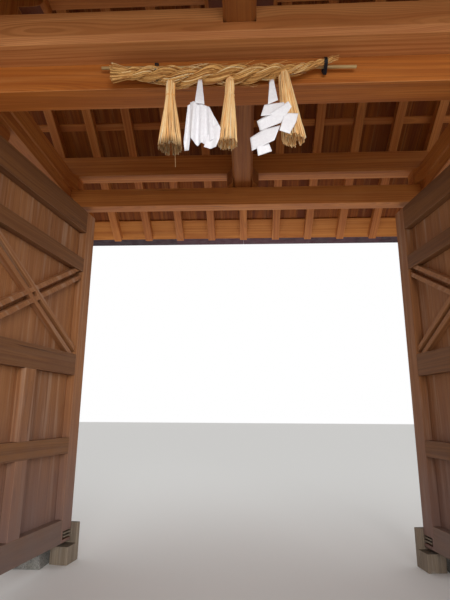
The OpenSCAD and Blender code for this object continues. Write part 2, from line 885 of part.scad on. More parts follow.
// A flat disc that stands across the rope at a place seen from the side, with
// its seam turned away from the strip that joins it to the next disc
module disc(r, y, z) {
    translate([-tie_w / 2, y, z])
        rotate([90, 0, 0])
            rotate([0, 90, 0])
                cylinder(r = r, h = tie_w);
}

// Bands that bind the rope to the pole, and nails that hold the pole to the lintel
module rope_ties() {
    color(iron)
        for (share = tie_shares) {
            x = -rope_shift + (share - 0.5) * rope_l * cos(rope_turn_angle);
            y = rope_y + (share - 0.5) * rope_l * sin(rope_turn_angle);
            difference() {
                translate([x, 0, 0]) {
                    disc(lookup(share, rope_radii) + tie_t, y, rope_z);
                    disc(pole_d / 2 + tie_t, pole_y, pole_z);
                    translate([0, y, rope_z])
                        rotate([atan2(pole_z - rope_z, pole_y - y), 0, 0])
                            translate([-tie_w / 2, 0, -tie_t])
                                cube([tie_w, norm([pole_y - y, pole_z - rope_z]), 2 * tie_t]);
                }
                rope_volume();
                rope_pole();
            }
            translate([x, lintel_y, pole_z])
                rotate([90, 0, 0])
                    cylinder(d = nail_d, h = lintel_y - pole_y - (pole_d + tie_t) / 2);
        }
}

main_post(-1);  // left_main_post
main_post(1);  // right_main_post
rear_post(-1);  // left_rear_post
rear_post(1);  // right_rear_post
base_stones();
threshold();
crown_beam();
door_lintel();
rear_lintel();
arm(-post_x);  // left_arm
arm(0);  // center_arm
arm(post_x);  // right_arm
side_ties(-1);  // left_side_ties
side_ties(1);  // right_side_ties
post_brackets();
purlin(-1);  // front_purlin
purlin(1);  // rear_purlin
ridge_beam();
ridge_struts();
rafters(-1);  // front_rafters
rafters(1);  // rear_rafters
roof_laths();
roof_boards(-1);  // front_roof_boards
roof_boards(1);  // rear_roof_boards
eave_edge(-1);  // front_eave_edge
eave_edge(1);  // rear_eave_edge
roof_skin(-1);  // front_roof_skin
roof_skin(1);  // rear_roof_skin
ridge_cap();
bargeboards(-1);  // left_bargeboards
bargeboards(1);  // right_bargeboards
stop_block(-1);  // left_stop_block
stop_block(1);  // right_stop_block
hinge_pintles();
rope_pole();
straw_rope();
straw_tassels();
paper_streamers();
rope_ties();
leaf_uprights(-1);  // left_leaf_uprights
leaf_rails(-1);  // left_leaf_rails
leaf_planks(-1);  // left_leaf_planks
leaf_braces(-1);  // left_leaf_braces
leaf_irons(-1);  // left_leaf_irons
leaf_uprights(1);  // right_leaf_uprights
leaf_rails(1);  // right_leaf_rails
leaf_planks(1);  // right_leaf_planks
leaf_braces(1);  // right_leaf_braces
leaf_irons(1);  // right_leaf_irons
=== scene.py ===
# Dresses the roofed timber shrine gate: grained timber, copper roof, granite
# stones, forged hinges, and the straw rope with its tassels and folded paper.
import json
from math import atan2, cos, pi, radians, sin, sqrt, tan, tau
import random

import bmesh
import bpy
from mathutils import Matrix, Vector, noise

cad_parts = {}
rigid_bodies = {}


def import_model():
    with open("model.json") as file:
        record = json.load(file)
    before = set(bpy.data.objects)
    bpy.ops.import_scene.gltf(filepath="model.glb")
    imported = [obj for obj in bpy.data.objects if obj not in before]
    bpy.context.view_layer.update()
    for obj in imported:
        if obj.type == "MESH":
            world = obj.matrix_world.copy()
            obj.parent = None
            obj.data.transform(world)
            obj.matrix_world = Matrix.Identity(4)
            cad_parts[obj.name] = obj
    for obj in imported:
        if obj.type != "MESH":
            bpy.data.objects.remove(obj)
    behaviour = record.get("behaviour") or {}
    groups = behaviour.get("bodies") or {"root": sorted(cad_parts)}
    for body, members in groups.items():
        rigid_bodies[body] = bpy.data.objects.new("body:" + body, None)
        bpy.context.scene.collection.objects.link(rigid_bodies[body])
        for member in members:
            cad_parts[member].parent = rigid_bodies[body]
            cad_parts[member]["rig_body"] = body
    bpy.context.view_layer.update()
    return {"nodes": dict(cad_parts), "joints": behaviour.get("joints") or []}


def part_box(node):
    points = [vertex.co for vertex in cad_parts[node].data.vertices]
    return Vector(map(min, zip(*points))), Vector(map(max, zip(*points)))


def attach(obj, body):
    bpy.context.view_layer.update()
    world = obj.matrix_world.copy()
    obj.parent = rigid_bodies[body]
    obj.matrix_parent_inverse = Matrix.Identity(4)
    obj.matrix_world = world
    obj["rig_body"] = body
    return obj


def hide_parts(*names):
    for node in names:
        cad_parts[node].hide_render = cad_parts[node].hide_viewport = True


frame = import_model()
scene = bpy.context.scene
scene.view_settings.view_transform = "Standard"
cadNodes = frame["nodes"]
joints = {joint["name"]: joint for joint in frame["joints"]}
print("frame loaded")


def addObject(name, data):
    made = bpy.data.objects.new(name, data)
    scene.collection.objects.link(made)
    return made


# Nodes of the materials, in small steps
def addNode(tree, kind, inputs=None, **settings):
    node = tree.nodes.new("ShaderNode" + kind)
    for name, value in settings.items():
        setattr(node, name, value)
    for socket, value in (inputs or {}).items():
        if isinstance(value, bpy.types.NodeSocket):
            tree.links.new(value, node.inputs[socket])
        else:
            node.inputs[socket].default_value = value
    return node


def calc(tree, operation, *values):
    return addNode(tree, "Math", dict(enumerate(values)), operation=operation).outputs[0]


def vectorCalc(tree, operation, *values, output=0):
    return addNode(tree, "VectorMath", dict(enumerate(values)), operation=operation).outputs[output]


def stretch(tree, vector, factors):
    return vectorCalc(tree, "MULTIPLY", vector, factors)


def noiseOf(tree, vector, scale, detail=2.0, roughness=0.5):
    inputs = {"Vector": vector, "Scale": scale, "Detail": detail, "Roughness": roughness}
    return addNode(tree, "TexNoise", inputs).outputs[0]


def fade(tree, value, low, high, start=0.0, end=1.0):
    inputs = {0: value, 1: low, 2: high, 3: start, 4: end}
    return addNode(tree, "MapRange", inputs, interpolation_type="SMOOTHSTEP").outputs[0]


def mixed(tree, share, first, second):
    return addNode(tree, "Mix", {0: share, 6: first, 7: second}, data_type="RGBA").outputs[2]


# Lays a colour of the tone over another, as far as a value times its share says
def laidOver(tree, colour, value, tone, name):
    return mixed(tree, calc(tree, "MULTIPLY", value, tone[name + "Share"]), colour, tone[name])


def attribute(tree, name, output="Fac"):
    return addNode(tree, "Attribute", attribute_name=name).outputs[output]


def tint(red, green, blue):  # a colour as the eye reads it, 0 to 255, made linear
    return tuple((c / 255) ** 2.2 for c in (red, green, blue)) + (1.0,)


def newGroup(name, inputs, outputs):
    tree = bpy.data.node_groups.new(name, "ShaderNodeTree")
    for label, kind, value in inputs:
        socket = tree.interface.new_socket(label, in_out="INPUT", socket_type="NodeSocket" + kind)
        if value is not None:
            socket.default_value = value
    for label in outputs:
        tree.interface.new_socket(label, in_out="OUTPUT", socket_type="NodeSocketFloat")
    return tree, tree.nodes.new("NodeGroupInput").outputs, tree.nodes.new("NodeGroupOutput").inputs


def placed(tree, group, inputs):
    return addNode(tree, "Group", inputs, node_tree=group).outputs


def newMaterial(name):
    material = bpy.data.materials.new(name)
    material.use_nodes = True
    tree = material.node_tree
    return material, tree, tree.nodes["Principled BSDF"]


def newSurface(name):
    material, tree, shader = newMaterial(name)
    return material, tree, shader, addNode(tree, "TexCoord").outputs["Object"]


# Sockets that a tone may set with a plain value
plainSockets = {"gloss": "Specular IOR Level", "metal": "Metallic", "glow": "Subsurface Weight",
                "glowDepth": "Subsurface Radius"}


def finishSurface(tree, shader, colour, roughness, height, tone):
    tree.links.new(colour, shader.inputs["Base Color"])
    tree.links.new(roughness, shader.inputs["Roughness"])
    bump = addNode(tree, "Bump", {"Height": height, "Distance": tone["relief"], "Strength": 1.0})
    tree.links.new(bump.outputs[0], shader.inputs["Normal"])
    for key in tone.keys() & plainSockets.keys():
        shader.inputs[plainSockets[key]].default_value = tone[key]


# Growth rings around a pith that runs along +X, streaks that follow them, fine
# fibres and drying checks
def buildGrain():
    inputs = [("Place", "Vector", None), ("Rings", "Float", 190.0)]
    tree, into, out = newGroup("timberGrain", inputs, ["Rings", "Streaks", "Fibres", "Checks"])
    place = into["Place"]
    waves = {"Vector": stretch(tree, place, (0.5, 2.5, 2.5)), "Scale": 1.0, "Detail": 2.0}
    bend = addNode(tree, "TexNoise", waves).outputs[1]
    bend = vectorCalc(tree, "SUBTRACT", bend, (0.5, 0.5, 0.5))
    bend = stretch(tree, bend, (0.0, 0.09, 0.09))
    across = vectorCalc(tree, "ADD", stretch(tree, place, (0.0, 1.0, 1.0)), bend)
    radius = vectorCalc(tree, "LENGTH", across, output=1)
    ring = calc(tree, "FRACT", calc(tree, "MULTIPLY", radius, into["Rings"]))
    ring = calc(tree, "MULTIPLY", fade(tree, ring, 0.2, 0.85), fade(tree, ring, 1.0, 0.85))
    tree.links.new(ring, out["Rings"])
    along = addNode(tree, "SeparateXYZ", {0: place}).outputs[0]
    band = {0: calc(tree, "MULTIPLY", radius, 55.0), 1: calc(tree, "MULTIPLY", along, 0.35)}
    band = addNode(tree, "CombineXYZ", band).outputs[0]
    tree.links.new(fade(tree, noiseOf(tree, band, 1.0, 4.0, 0.62), 0.3, 0.7), out["Streaks"])
    tree.links.new(noiseOf(tree, stretch(tree, place, (7.0, 190.0, 190.0)), 1.0, 3.0), out["Fibres"])
    crack = noiseOf(tree, stretch(tree, place, (0.3, 26.0, 26.0)), 1.0, 2.0)
    crack = calc(tree, "ABSOLUTE", calc(tree, "SUBTRACT", crack, 0.5))
    cracked = noiseOf(tree, stretch(tree, place, (0.5, 3.0, 3.0)), 1.3, 1.0)
    checks = calc(tree, "MULTIPLY", fade(tree, crack, 0.006, 0.001), fade(tree, cracked, 0.62, 0.68))
    tree.links.new(checks, out["Checks"])
    return tree


# Patches of dust and rain marks, broad ones, and a greying towards the ground: rain splash, which on the
# leaves also stands in for painted cool shade
def buildWeather():
    inputs = [("Place", "Vector", None), ("Low", "Float", 0.1), ("High", "Float", 1.0)]
    tree, into, out = newGroup("weather", inputs, ["Patches", "SplashAndShade"])
    tree.links.new(fade(tree, noiseOf(tree, into["Place"], 1.7, 5.0, 0.6), 0.35, 0.7), out["Patches"])
    height = addNode(tree, "SeparateXYZ", {0: into["Place"]}).outputs[2]
    ragged = calc(tree, "MULTIPLY_ADD", noiseOf(tree, into["Place"], 5.0, 4.0), 0.5, height)
    tree.links.new(fade(tree, ragged, into["High"], into["Low"]), out["SplashAndShade"])
    return tree


grainGroup = buildGrain()
weatherGroup = buildWeather()


def makeTimber(name, tone):
    material, tree, shader, place = newSurface(name)
    log = attribute(tree, "grainPlace", "Vector")
    grain = placed(tree, grainGroup, {"Place": log, "Rings": tone["rings"]})
    height = {"Low": tone["splashShadeFoot"], "High": tone["splashShadeTop"]}
    weather = placed(tree, weatherGroup, {"Place": place, **height})
    member = calc(tree, "SUBTRACT", attribute(tree, "member"), 0.5)
    share = calc(tree, "MULTIPLY_ADD", member, tone["memberChange"], grain["Streaks"])
    colour = mixed(tree, share, tone["dark"], tone["light"])
    colour = laidOver(tree, colour, grain["Rings"], tone, "ring")
    colour = laidOver(tree, colour, weather["Patches"], tone, "patch")
    run = stretch(tree, attribute(tree, "grainPlace", "Vector"), (0.8, 16.0, 16.0))
    bleach = fade(tree, noiseOf(tree, run, 1.0, 3.0, 0.6), 0.5, 0.72)
    colour = laidOver(tree, colour, bleach, tone, "bleach")
    grey = calc(tree, "MULTIPLY", fade(tree, grain["Fibres"], 0.3, 0.75), tone["greying"])
    grey = calc(tree, "MAXIMUM", grey, calc(tree, "MULTIPLY", weather["SplashAndShade"], tone["splashShadeShare"]))
    colour = mixed(tree, grey, colour, tone["grey"])
    colour = laidOver(tree, colour, attribute(tree, "endGrain"), tone, "end")
    colour = laidOver(tree, colour, grain["Checks"], tone, "check")
    colour = laidOver(tree, colour, attribute(tree, "edge"), tone, "worn")
    roughness = fade(tree, grain["Fibres"], 0.2, 0.8, tone["roughness"] - 0.1, tone["roughness"] + 0.1)
    height = calc(tree, "MULTIPLY_ADD", grain["Rings"], tone["ringDepth"], grain["Fibres"])
    height = calc(tree, "MULTIPLY_ADD", grain["Checks"], tone["checkDepth"], height)
    finishSurface(tree, shader, colour, roughness, height, tone)
    return material


# The colours of each timber, then how strongly its marks show
frameTone = {
    "dark": tint(156, 86, 34), "light": tint(198, 124, 58), "ring": tint(122, 62, 22),
    "patch": tint(164, 90, 34), "grey": tint(152, 110, 68), "worn": tint(216, 152, 92),
    "bleach": tint(204, 142, 84), "end": tint(84, 34, 8), "rings": 190.0, "memberChange": 0.5,
    "patchShare": 0.35, "bleachShare": 0.2, "greying": 0.1, "splashShadeFoot": 0.15, "splashShadeTop": 0.55,
    "check": tint(52, 30, 18), "ringShare": 0.35, "splashShadeShare": 0.88, "endShare": 0.85, "checkShare": 0.6,
    "wornShare": 0.2, "ringDepth": -0.4, "checkDepth": -3.0, "roughness": 0.62, "gloss": 0.32,
    "relief": 0.0006}
# The centre arm's copy is darker: painted shade over its front
shadedArmTone = dict(frameTone, dark=tint(116, 60, 20), light=tint(150, 90, 40), patch=tint(126, 68, 24))
eaveTone = dict(
    frameTone, dark=tint(162, 94, 40), light=tint(200, 130, 64), patch=tint(172, 104, 46), gloss=0.15)
# The crown beam's copy is lighter: painted light from the ground's bounce on its face
litCrownTone = dict(frameTone, dark=tint(170, 102, 54), light=tint(214, 146, 88), patch=tint(186, 114, 62))
lintelTone = dict(frameTone, dark=tint(152, 82, 28), light=tint(200, 120, 50), patch=tint(170, 94, 34))
# The roof boards' copy is darker and redder: painted shade deep under the roof
shadedRoofTone = dict(
    frameTone, dark=tint(104, 48, 10), light=tint(150, 82, 26), patch=tint(92, 40, 8),
    ring=tint(78, 34, 6), memberChange=0.8, gloss=0.15)
# The leaves grey far up from the ground: rain weathering, and painted cool shade over their lower parts
# against a warmer top
plankTone = dict(
    frameTone, dark=tint(146, 94, 54), light=tint(176, 120, 74), ring=tint(118, 72, 40),
    patch=tint(140, 90, 52), grey=tint(116, 97, 94), bleach=tint(192, 160, 134), worn=tint(158, 120, 92),
    end=tint(96, 56, 30), memberChange=0.9, bleachShare=0.4, greying=0.12, splashShadeTop=2.3, roughness=0.72,
    gloss=0.3, relief=0.0009)
railTone = dict(
    plankTone, dark=tint(110, 68, 34), light=tint(142, 94, 50), ring=tint(88, 52, 26),
    patch=tint(112, 70, 38), grey=tint(114, 99, 94), bleach=tint(146, 108, 74), memberChange=0.4,
    bleachShare=0.2, greying=0.15, splashShadeTop=1.7)
oldTone = dict(
    frameTone, dark=tint(98, 82, 68), light=tint(142, 124, 104), ring=tint(80, 66, 54),
    patch=tint(112, 104, 82), grey=tint(144, 134, 124), worn=tint(156, 140, 120),
    bleach=tint(160, 148, 132), end=tint(90, 78, 64), greying=0.5, splashShadeTop=0.2, roughness=0.85,
    relief=0.0015)


roofCopperTone = {
    "dark": tint(56, 30, 32), "light": tint(92, 54, 50), "streak": tint(40, 24, 28),
    "green": tint(84, 100, 90), "memberChange": 0.5, "streakShare": 0.5, "greenShare": 0.25, "metal": 0.1,
    "gloss": 0.5, "relief": 0.004}
eaveCopperTone = dict(
    roofCopperTone, dark=tint(44, 16, 26), light=tint(66, 28, 38), streak=tint(34, 14, 22),
    green=tint(60, 56, 60), gloss=0.2)


def makeCopper(name, tone):
    material, tree, shader, place = newSurface(name)
    clouds = noiseOf(tree, place, 2.2, 5.0, 0.6)
    member = calc(tree, "SUBTRACT", attribute(tree, "member"), 0.5)
    share = calc(tree, "MULTIPLY_ADD", member, tone["memberChange"], clouds)
    colour = mixed(tree, fade(tree, share, 0.25, 0.75), tone["dark"], tone["light"])
    runs = fade(tree, noiseOf(tree, stretch(tree, place, (14.0, 0.8, 0.8)), 1.0, 4.0), 0.5, 0.75)
    colour = laidOver(tree, colour, runs, tone, "streak")
    bloom = fade(tree, noiseOf(tree, place, 7.0, 6.0, 0.7), 0.58, 0.8)
    colour = laidOver(tree, colour, bloom, tone, "green")
    roughness = fade(tree, noiseOf(tree, place, 11.0, 4.0), 0.3, 0.7, 0.5, 0.7)
    finishSurface(tree, shader, colour, roughness, noiseOf(tree, place, 3.5, 2.0), tone)
    return material


# The granite is darkened: painted shade, as the base stones lie in shadow under the leaves
shadedGraniteTone = {
    "dark": tint(108, 106, 102), "light": tint(150, 148, 142), "speck": tint(56, 56, 56),
    "stain": tint(92, 92, 76), "stainShare": 0.5, "crystals": 260.0, "relief": 0.002}


def makeGranite(name, tone):
    material, tree, shader, place = newSurface(name)
    crystals = addNode(tree, "TexVoronoi", {"Vector": place, "Scale": tone["crystals"]})
    shade = addNode(tree, "SeparateColor", {0: crystals.outputs["Color"]}).outputs[0]
    colour = mixed(tree, fade(tree, shade, 0.1, 0.9), tone["dark"], tone["light"])
    colour = mixed(tree, fade(tree, shade, 0.12, 0.08), colour, tone["speck"])
    stain = fade(tree, noiseOf(tree, place, 6.0, 5.0, 0.6), 0.45, 0.75)
    colour = laidOver(tree, colour, stain, tone, "stain")
    pits = noiseOf(tree, place, 90.0, 4.0, 0.65)
    finishSurface(tree, shader, colour, fade(tree, pits, 0.3, 0.7, 0.75, 0.95), pits, tone)
    return material


ironTone = {
    "dark": tint(48, 46, 46), "rust": tint(92, 56, 38), "worn": tint(96, 92, 88), "wornShare": 0.5,
    "dents": 70.0, "metal": 0.75, "relief": 0.0012}


def makeIron(name, tone):
    material, tree, shader, place = newSurface(name)
    cells = {"Vector": place, "Scale": tone["dents"]}
    dents = addNode(tree, "TexVoronoi", cells, feature="SMOOTH_F1")
    rust = fade(tree, noiseOf(tree, place, 30.0, 5.0, 0.65), 0.52, 0.7)
    colour = mixed(tree, rust, tone["dark"], tone["rust"])
    colour = laidOver(tree, colour, attribute(tree, "edge"), tone, "worn")
    finishSurface(tree, shader, colour, fade(tree, rust, 0.0, 1.0, 0.5, 0.85), dents.outputs[0], tone)
    return material


ropeTone = {
    "dark": tint(164, 104, 46), "light": tint(246, 194, 118), "pale": tint(252, 230, 178),
    "tip": tint(252, 230, 178), "blotching": 0.7, "gloss": 0.35, "relief": 0.0004}
tasselTone = dict(
    ropeTone, dark=tint(236, 174, 104), light=tint(254, 222, 164), pale=tint(255, 238, 200),
    tip=tint(96, 62, 36))


def makeStraw(name, tone):
    material, tree, shader, place = newSurface(name)
    member = attribute(tree, "member")
    blotch = noiseOf(tree, place, 24.0, 4.0, 0.6)
    share = calc(tree, "MULTIPLY_ADD", calc(tree, "SUBTRACT", blotch, 0.5), tone["blotching"], member)
    colour = mixed(tree, share, tone["dark"], tone["light"])
    colour = mixed(tree, fade(tree, member, 0.9, 0.97), colour, tone["pale"])
    colour = mixed(tree, fade(tree, attribute(tree, "along"), 0.9, 1.0, 0.0, 0.7), colour, tone["tip"])
    ribs = noiseOf(tree, place, 420.0, 2.0)
    finishSurface(tree, shader, colour, fade(tree, blotch, 0.3, 0.7, 0.5, 0.7), ribs, tone)
    return material


paperTone = {
    "dark": tint(232, 230, 233), "light": tint(240, 239, 241), "specks": (60.0, 5.0, 0.6),
    "spread": (0.35, 0.7), "roughness": (0.75, 0.9), "relief": 0.0004, "glow": 0.15,
    "glowDepth": (0.01, 0.01, 0.01)}
bambooTone = {
    "dark": tint(150, 118, 74), "light": tint(196, 164, 112), "rim": tint(120, 92, 60),
    "stretch": (3.0, 160.0, 160.0), "specks": (1.0, 3.0), "spread": (0.3, 0.7), "roughness": (0.4, 0.6),
    "relief": 0.0004}
tieTone = {
    "dark": tint(16, 18, 26), "light": tint(44, 46, 54), "specks": (80.0, 4.0), "spread": (0.4, 0.8),
    "roughness": (0.4, 0.6), "relief": 0.0006}


# A finish whose one noise gives its colour, its roughness and its relief
def makePlain(name, tone):
    material, tree, shader, place = newSurface(name)
    if "stretch" in tone:
        place = stretch(tree, place, tone["stretch"])
    specks = noiseOf(tree, place, *tone["specks"])
    colour = mixed(tree, fade(tree, specks, *tone["spread"]), tone["dark"], tone["light"])
    if "rim" in tone:
        colour = mixed(tree, attribute(tree, "edge"), colour, tone["rim"])
    roughness = fade(tree, specks, 0.3, 0.7, *tone["roughness"])
    finishSurface(tree, shader, colour, roughness, specks, tone)
    return material


finishes = {}
for make, tones in (
        (makeTimber, {"frameTimber": frameTone, "shadedArmTimber": shadedArmTone, "eaveTimber": eaveTone,
                      "litCrownTimber": litCrownTone, "lintelTimber": lintelTone, "shadedRoofTimber": shadedRoofTone,
                      "plankTimber": plankTone, "railTimber": railTone, "oldTimber": oldTone}),
        (makeCopper, {"oldCopper": roofCopperTone, "eaveCopper": eaveCopperTone}),
        (makeGranite, {"granite": shadedGraniteTone}), (makeIron, {"forgedIron": ironTone}),
        (makeStraw, {"ropeStraw": ropeTone, "tasselStraw": tasselTone}),
        (makePlain, {"foldedPaper": paperTone, "dryBamboo": bambooTone, "blackTie": tieTone})):
    for name, tone in tones.items():
        finishes[name] = make(name, tone)
print("finishes made")


# Pieces made from the CAD nodes
copySpec = {"weld": 0.00002, "flat": 0.5}


def cadCopy(node):
    bm = bmesh.new()
    bm.from_mesh(cadNodes[node].data)
    bmesh.ops.remove_doubles(bm, verts=bm.verts, dist=copySpec["weld"])
    bmesh.ops.dissolve_limit(bm, angle_limit=radians(copySpec["flat"]), verts=bm.verts, edges=bm.edges)
    return bm


def looseParts(bm):
    for vert in bm.verts:
        vert.tag = False
    parts = []
    for first in bm.verts:
        if first.tag:
            continue
        first.tag = True
        part, waiting = [], [first]
        while waiting:
            vert = waiting.pop()
            part.append(vert)
            for edge in vert.link_edges:
                other = edge.other_vert(vert)
                if not other.tag:
                    other.tag = True
                    waiting.append(other)
        parts.append(part)
    return parts


# Eases every sharp edge, and marks the eased faces as worn
def easeEdges(bm, width, segments=2, sharp=25):
    worn = bm.faces.layers.float.get("edge") or bm.faces.layers.float.new("edge")
    sharpEdges = [edge for edge in bm.edges
                  if len(edge.link_faces) == 2 and edge.calc_face_angle(0) > radians(sharp)]
    eased = bmesh.ops.bevel(bm, geom=sharpEdges, offset=width, offset_type="OFFSET", affect="EDGES",
                            segments=segments, profile=0.5, clamp_overlap=True, material=-1)
    for face in eased["faces"]:
        face[worn] = 1.0


grainSpec = {"aligned": 0.9, "pith": (0.05, 0.3), "log": 40}


# Gives each member its own number, and its place in a log along its longest edge
def markGrain(bm, rng):
    grainPlace = bm.verts.layers.float_vector.new("grainPlace")
    member = bm.verts.layers.float.new("member")
    endGrain = bm.faces.layers.float.new("endGrain")
    aligned = grainSpec["aligned"]
    bm.normal_update()
    for part in looseParts(bm):
        edges = (edge for vert in part for edge in vert.link_edges)
        longest = max(edges, key=lambda edge: edge.calc_length())
        along = (longest.verts[1].co - longest.verts[0].co).normalized()
        if max(along, key=abs) < 0:
            along = -along
        level = Vector((0, 0, 1)).cross(along)
        side = (along.orthogonal() if abs(along.z) > aligned else level).normalized()
        up = along.cross(side)
        centre = sum((vert.co for vert in part), Vector()) / len(part)
        turn, far = rng.uniform(0, tau), rng.uniform(*grainSpec["pith"])
        shift = Vector((rng.uniform(0, grainSpec["log"]), far * cos(turn), far * sin(turn)))
        number = rng.random()
        for vert in part:
            away = vert.co - centre
            vert[grainPlace] = Vector((away.dot(along), away.dot(side), away.dot(up))) + shift
            vert[member] = number
            for face in vert.link_faces:
                face[endGrain] = 1.0 if abs(face.normal.dot(along)) > aligned else 0.0


def newPiece(bm, name, finish, body, replaced=(), smooth=False):
    mesh = bpy.data.meshes.new(name)
    for face in bm.faces:
        face.smooth = smooth
    bm.to_mesh(mesh)
    bm.free()
    return rideOn(mesh, name, finish, body, replaced)


def rideOn(mesh, name, finish, body, replaced=()):
    piece = addObject(name, mesh)
    mesh.materials.append(finishes[finish])
    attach(piece, body)
    if replaced:
        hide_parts(*replaced)
    return piece


def bodyOf(node):
    return cadNodes[node]["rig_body"]


timberPieces = [
    ("frame_timber", "frameTimber", 0.004, [
        "left_main_post", "right_main_post", "left_rear_post", "right_rear_post", "rear_lintel", "left_arm",
        "right_arm", "left_side_ties", "right_side_ties", "post_brackets", "front_purlin", "rear_purlin",
        "ridge_beam", "ridge_struts", "front_rafters", "rear_rafters", "left_bargeboards",
        "right_bargeboards"]),
    ("frame_timber", "shadedArmTimber", 0.004, ["center_arm"]),
    ("frame_timber", "litCrownTimber", 0.005, ["crown_beam"]),
    ("frame_timber", "lintelTimber", 0.005, ["door_lintel"]),
    ("roof_board_timber", "frameTimber", 0.002, ["roof_laths"]),
    ("leaf_timber", "plankTimber", 0.005, [
        "left_leaf_uprights", "right_leaf_uprights", "left_leaf_braces", "right_leaf_braces"]),
    ("leaf_timber", "railTimber", 0.004, ["left_leaf_rails", "right_leaf_rails"]),
    ("weathered_timber", "oldTimber", 0.006, ["threshold", "left_stop_block", "right_stop_block"])]


def dressTimber():
    for slot, finish, ease, nodes in timberPieces:
        for node in nodes:
            rng = random.Random(node)
            bm = cadCopy(node)
            easeEdges(bm, ease)
            markGrain(bm, rng)
            newPiece(bm, "cypress_" + node, finish, bodyOf(node), [node])


# Cuts a prism into strips across a direction, each a little short of the next
def cutStrips(source, start, direction, cuts, gap):
    strips = bmesh.new()
    for low, high in zip(cuts[:-1], cuts[1:]):
        strip = source.copy()
        for distance, upper in ((low + gap / 2, False), (high - gap / 2, True)):
            whole = strip.verts[:] + strip.edges[:] + strip.faces[:]
            cut = bmesh.ops.bisect_plane(strip, geom=whole, dist=1e-6, plane_co=start + direction * distance,
                                         plane_no=direction, clear_inner=not upper, clear_outer=upper)
            rim = [item for item in cut["geom_cut"] if isinstance(item, bmesh.types.BMEdge)]
            bmesh.ops.holes_fill(strip, edges=rim, sides=0)
        part = bpy.data.meshes.new("strip")
        strip.to_mesh(part)
        strip.free()
        strips.from_mesh(part)
        bpy.data.meshes.remove(part)
    return strips


def boardCuts(low, high, width, change, rng):
    count = max(1, round((high - low) / width))
    shares = [1 + rng.uniform(-change, change) for _ in range(count)]
    cuts, at = [low], low
    for share in shares:
        at += share / sum(shares) * (high - low)
        cuts.append(at)
    return cuts


def leafFrame(side):
    joint = joints[side + "_leaf_hinge"]
    opened = radians(joint["range_deg"][1])
    hinge = Matrix.Translation((joint["pos_m"][0], joint["pos_m"][1], 0))
    if side == "left":
        return hinge @ Matrix.Rotation(opened, 4, "Z")
    return hinge @ Matrix.Rotation(-opened, 4, "Z") @ Matrix.Diagonal((-1, 1, 1, 1))


# Makes a piece of a node's solid, cut into members along a line from end to end
def cutPiece(source, node, line, ends, settings, name, finish):
    rng = random.Random(node)
    start, direction = line
    cuts = boardCuts(*ends, settings["width"], settings["change"], rng)
    bm = cutStrips(source, start, direction, cuts, settings["gap"])
    source.free()
    easeEdges(bm, settings["ease"], settings["segments"])
    markGrain(bm, rng)
    newPiece(bm, name, finish, bodyOf(node), [node])


roofBoardSpec = {"width": 0.19, "change": 0.14, "gap": 0.0016, "ease": 0.0016, "segments": 1}
plankSpec = dict(roofBoardSpec, width=0.17)


def boardPieces():
    for node in ("front_roof_boards", "rear_roof_boards"):
        low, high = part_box(node)
        cutPiece(cadCopy(node), node, (Vector(), Vector((1, 0, 0))), (low.x, high.x), roofBoardSpec,
                 "cypress_" + node, "shadedRoofTimber")
    for side in ("left", "right"):
        node = side + "_leaf_planks"
        source = cadCopy(node)
        leaf = leafFrame(side)
        start, direction = leaf.translation.copy(), (leaf.to_3x3() @ Vector((1, 0, 0))).normalized()
        reach = [(vert.co - start).dot(direction) for vert in source.verts]
        cutPiece(source, node, (start, direction), (min(reach), max(reach)), plankSpec,
                 "cypress_" + node, "plankTimber")


def setBox(bm, size, matrix):
    box = bmesh.ops.create_cube(bm, size=1.0)["verts"]
    bmesh.ops.scale(bm, vec=size, verts=box)
    bmesh.ops.transform(bm, matrix=matrix, verts=box)


def slopeTurn(down, up):
    return Matrix((Vector((1, 0, 0)), down, up)).transposed().to_4x4()


# A wide board along each eave, under the roof boards and between the rafters
eaveBoardSpec = {"reach": 0.295, "length": 1.8, "thickness": 0.012, "sunk": 0.0004, "ridge": 0.002}


def eaveBoards():
    reach, thickness = eaveBoardSpec["reach"], eaveBoardSpec["thickness"]
    for side, way in (("front", -1), ("rear", 1)):
        low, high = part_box(side + "_roof_boards")
        rng = random.Random(side + "_eave_boards")
        far = max(abs(low.y), abs(high.y))
        peak = min(vert.co.z for vert in cadNodes[side + "_roof_boards"].data.vertices
                   if abs(vert.co.y) < eaveBoardSpec["ridge"])
        down = Vector((0, far * way, low.z - peak)).normalized()
        up = Vector((1, 0, 0)).cross(down) * way
        bm = bmesh.new()
        cuts = boardCuts(low.x, high.x, eaveBoardSpec["length"], roofBoardSpec["change"], rng)
        for left, right in zip(cuts[:-1], cuts[1:]):
            spot = Vector((0, far * way, low.z)) - down * (reach / 2)
            spot -= up * (thickness / 2 - eaveBoardSpec["sunk"])
            spot.x = (left + right) / 2
            setBox(bm, (right - left - roofBoardSpec["gap"], reach, thickness),
                   Matrix.Translation(spot) @ slopeTurn(down * way, up))
        bmesh.ops.recalc_face_normals(bm, faces=bm.faces)
        easeEdges(bm, roofBoardSpec["ease"], roofBoardSpec["segments"])
        markGrain(bm, rng)
        newPiece(bm, "cypress_" + side + "_eave_boards", "eaveTimber", "gate")


dressTimber()
boardPieces()
eaveBoards()
print("timber pieces built")


# Copper roof
sheetSpec = {
    "length": 0.57, "run": 0.21, "thickness": 0.0018, "gap": 0.002, "lap": 0.01, "least": 0.02,
    "lift": 0.006, "tilts": (0.8, 1.1), "inset": 0.004, "eaveInset": 0.014, "ease": 0.002,
    "eaveReach": 0.004}


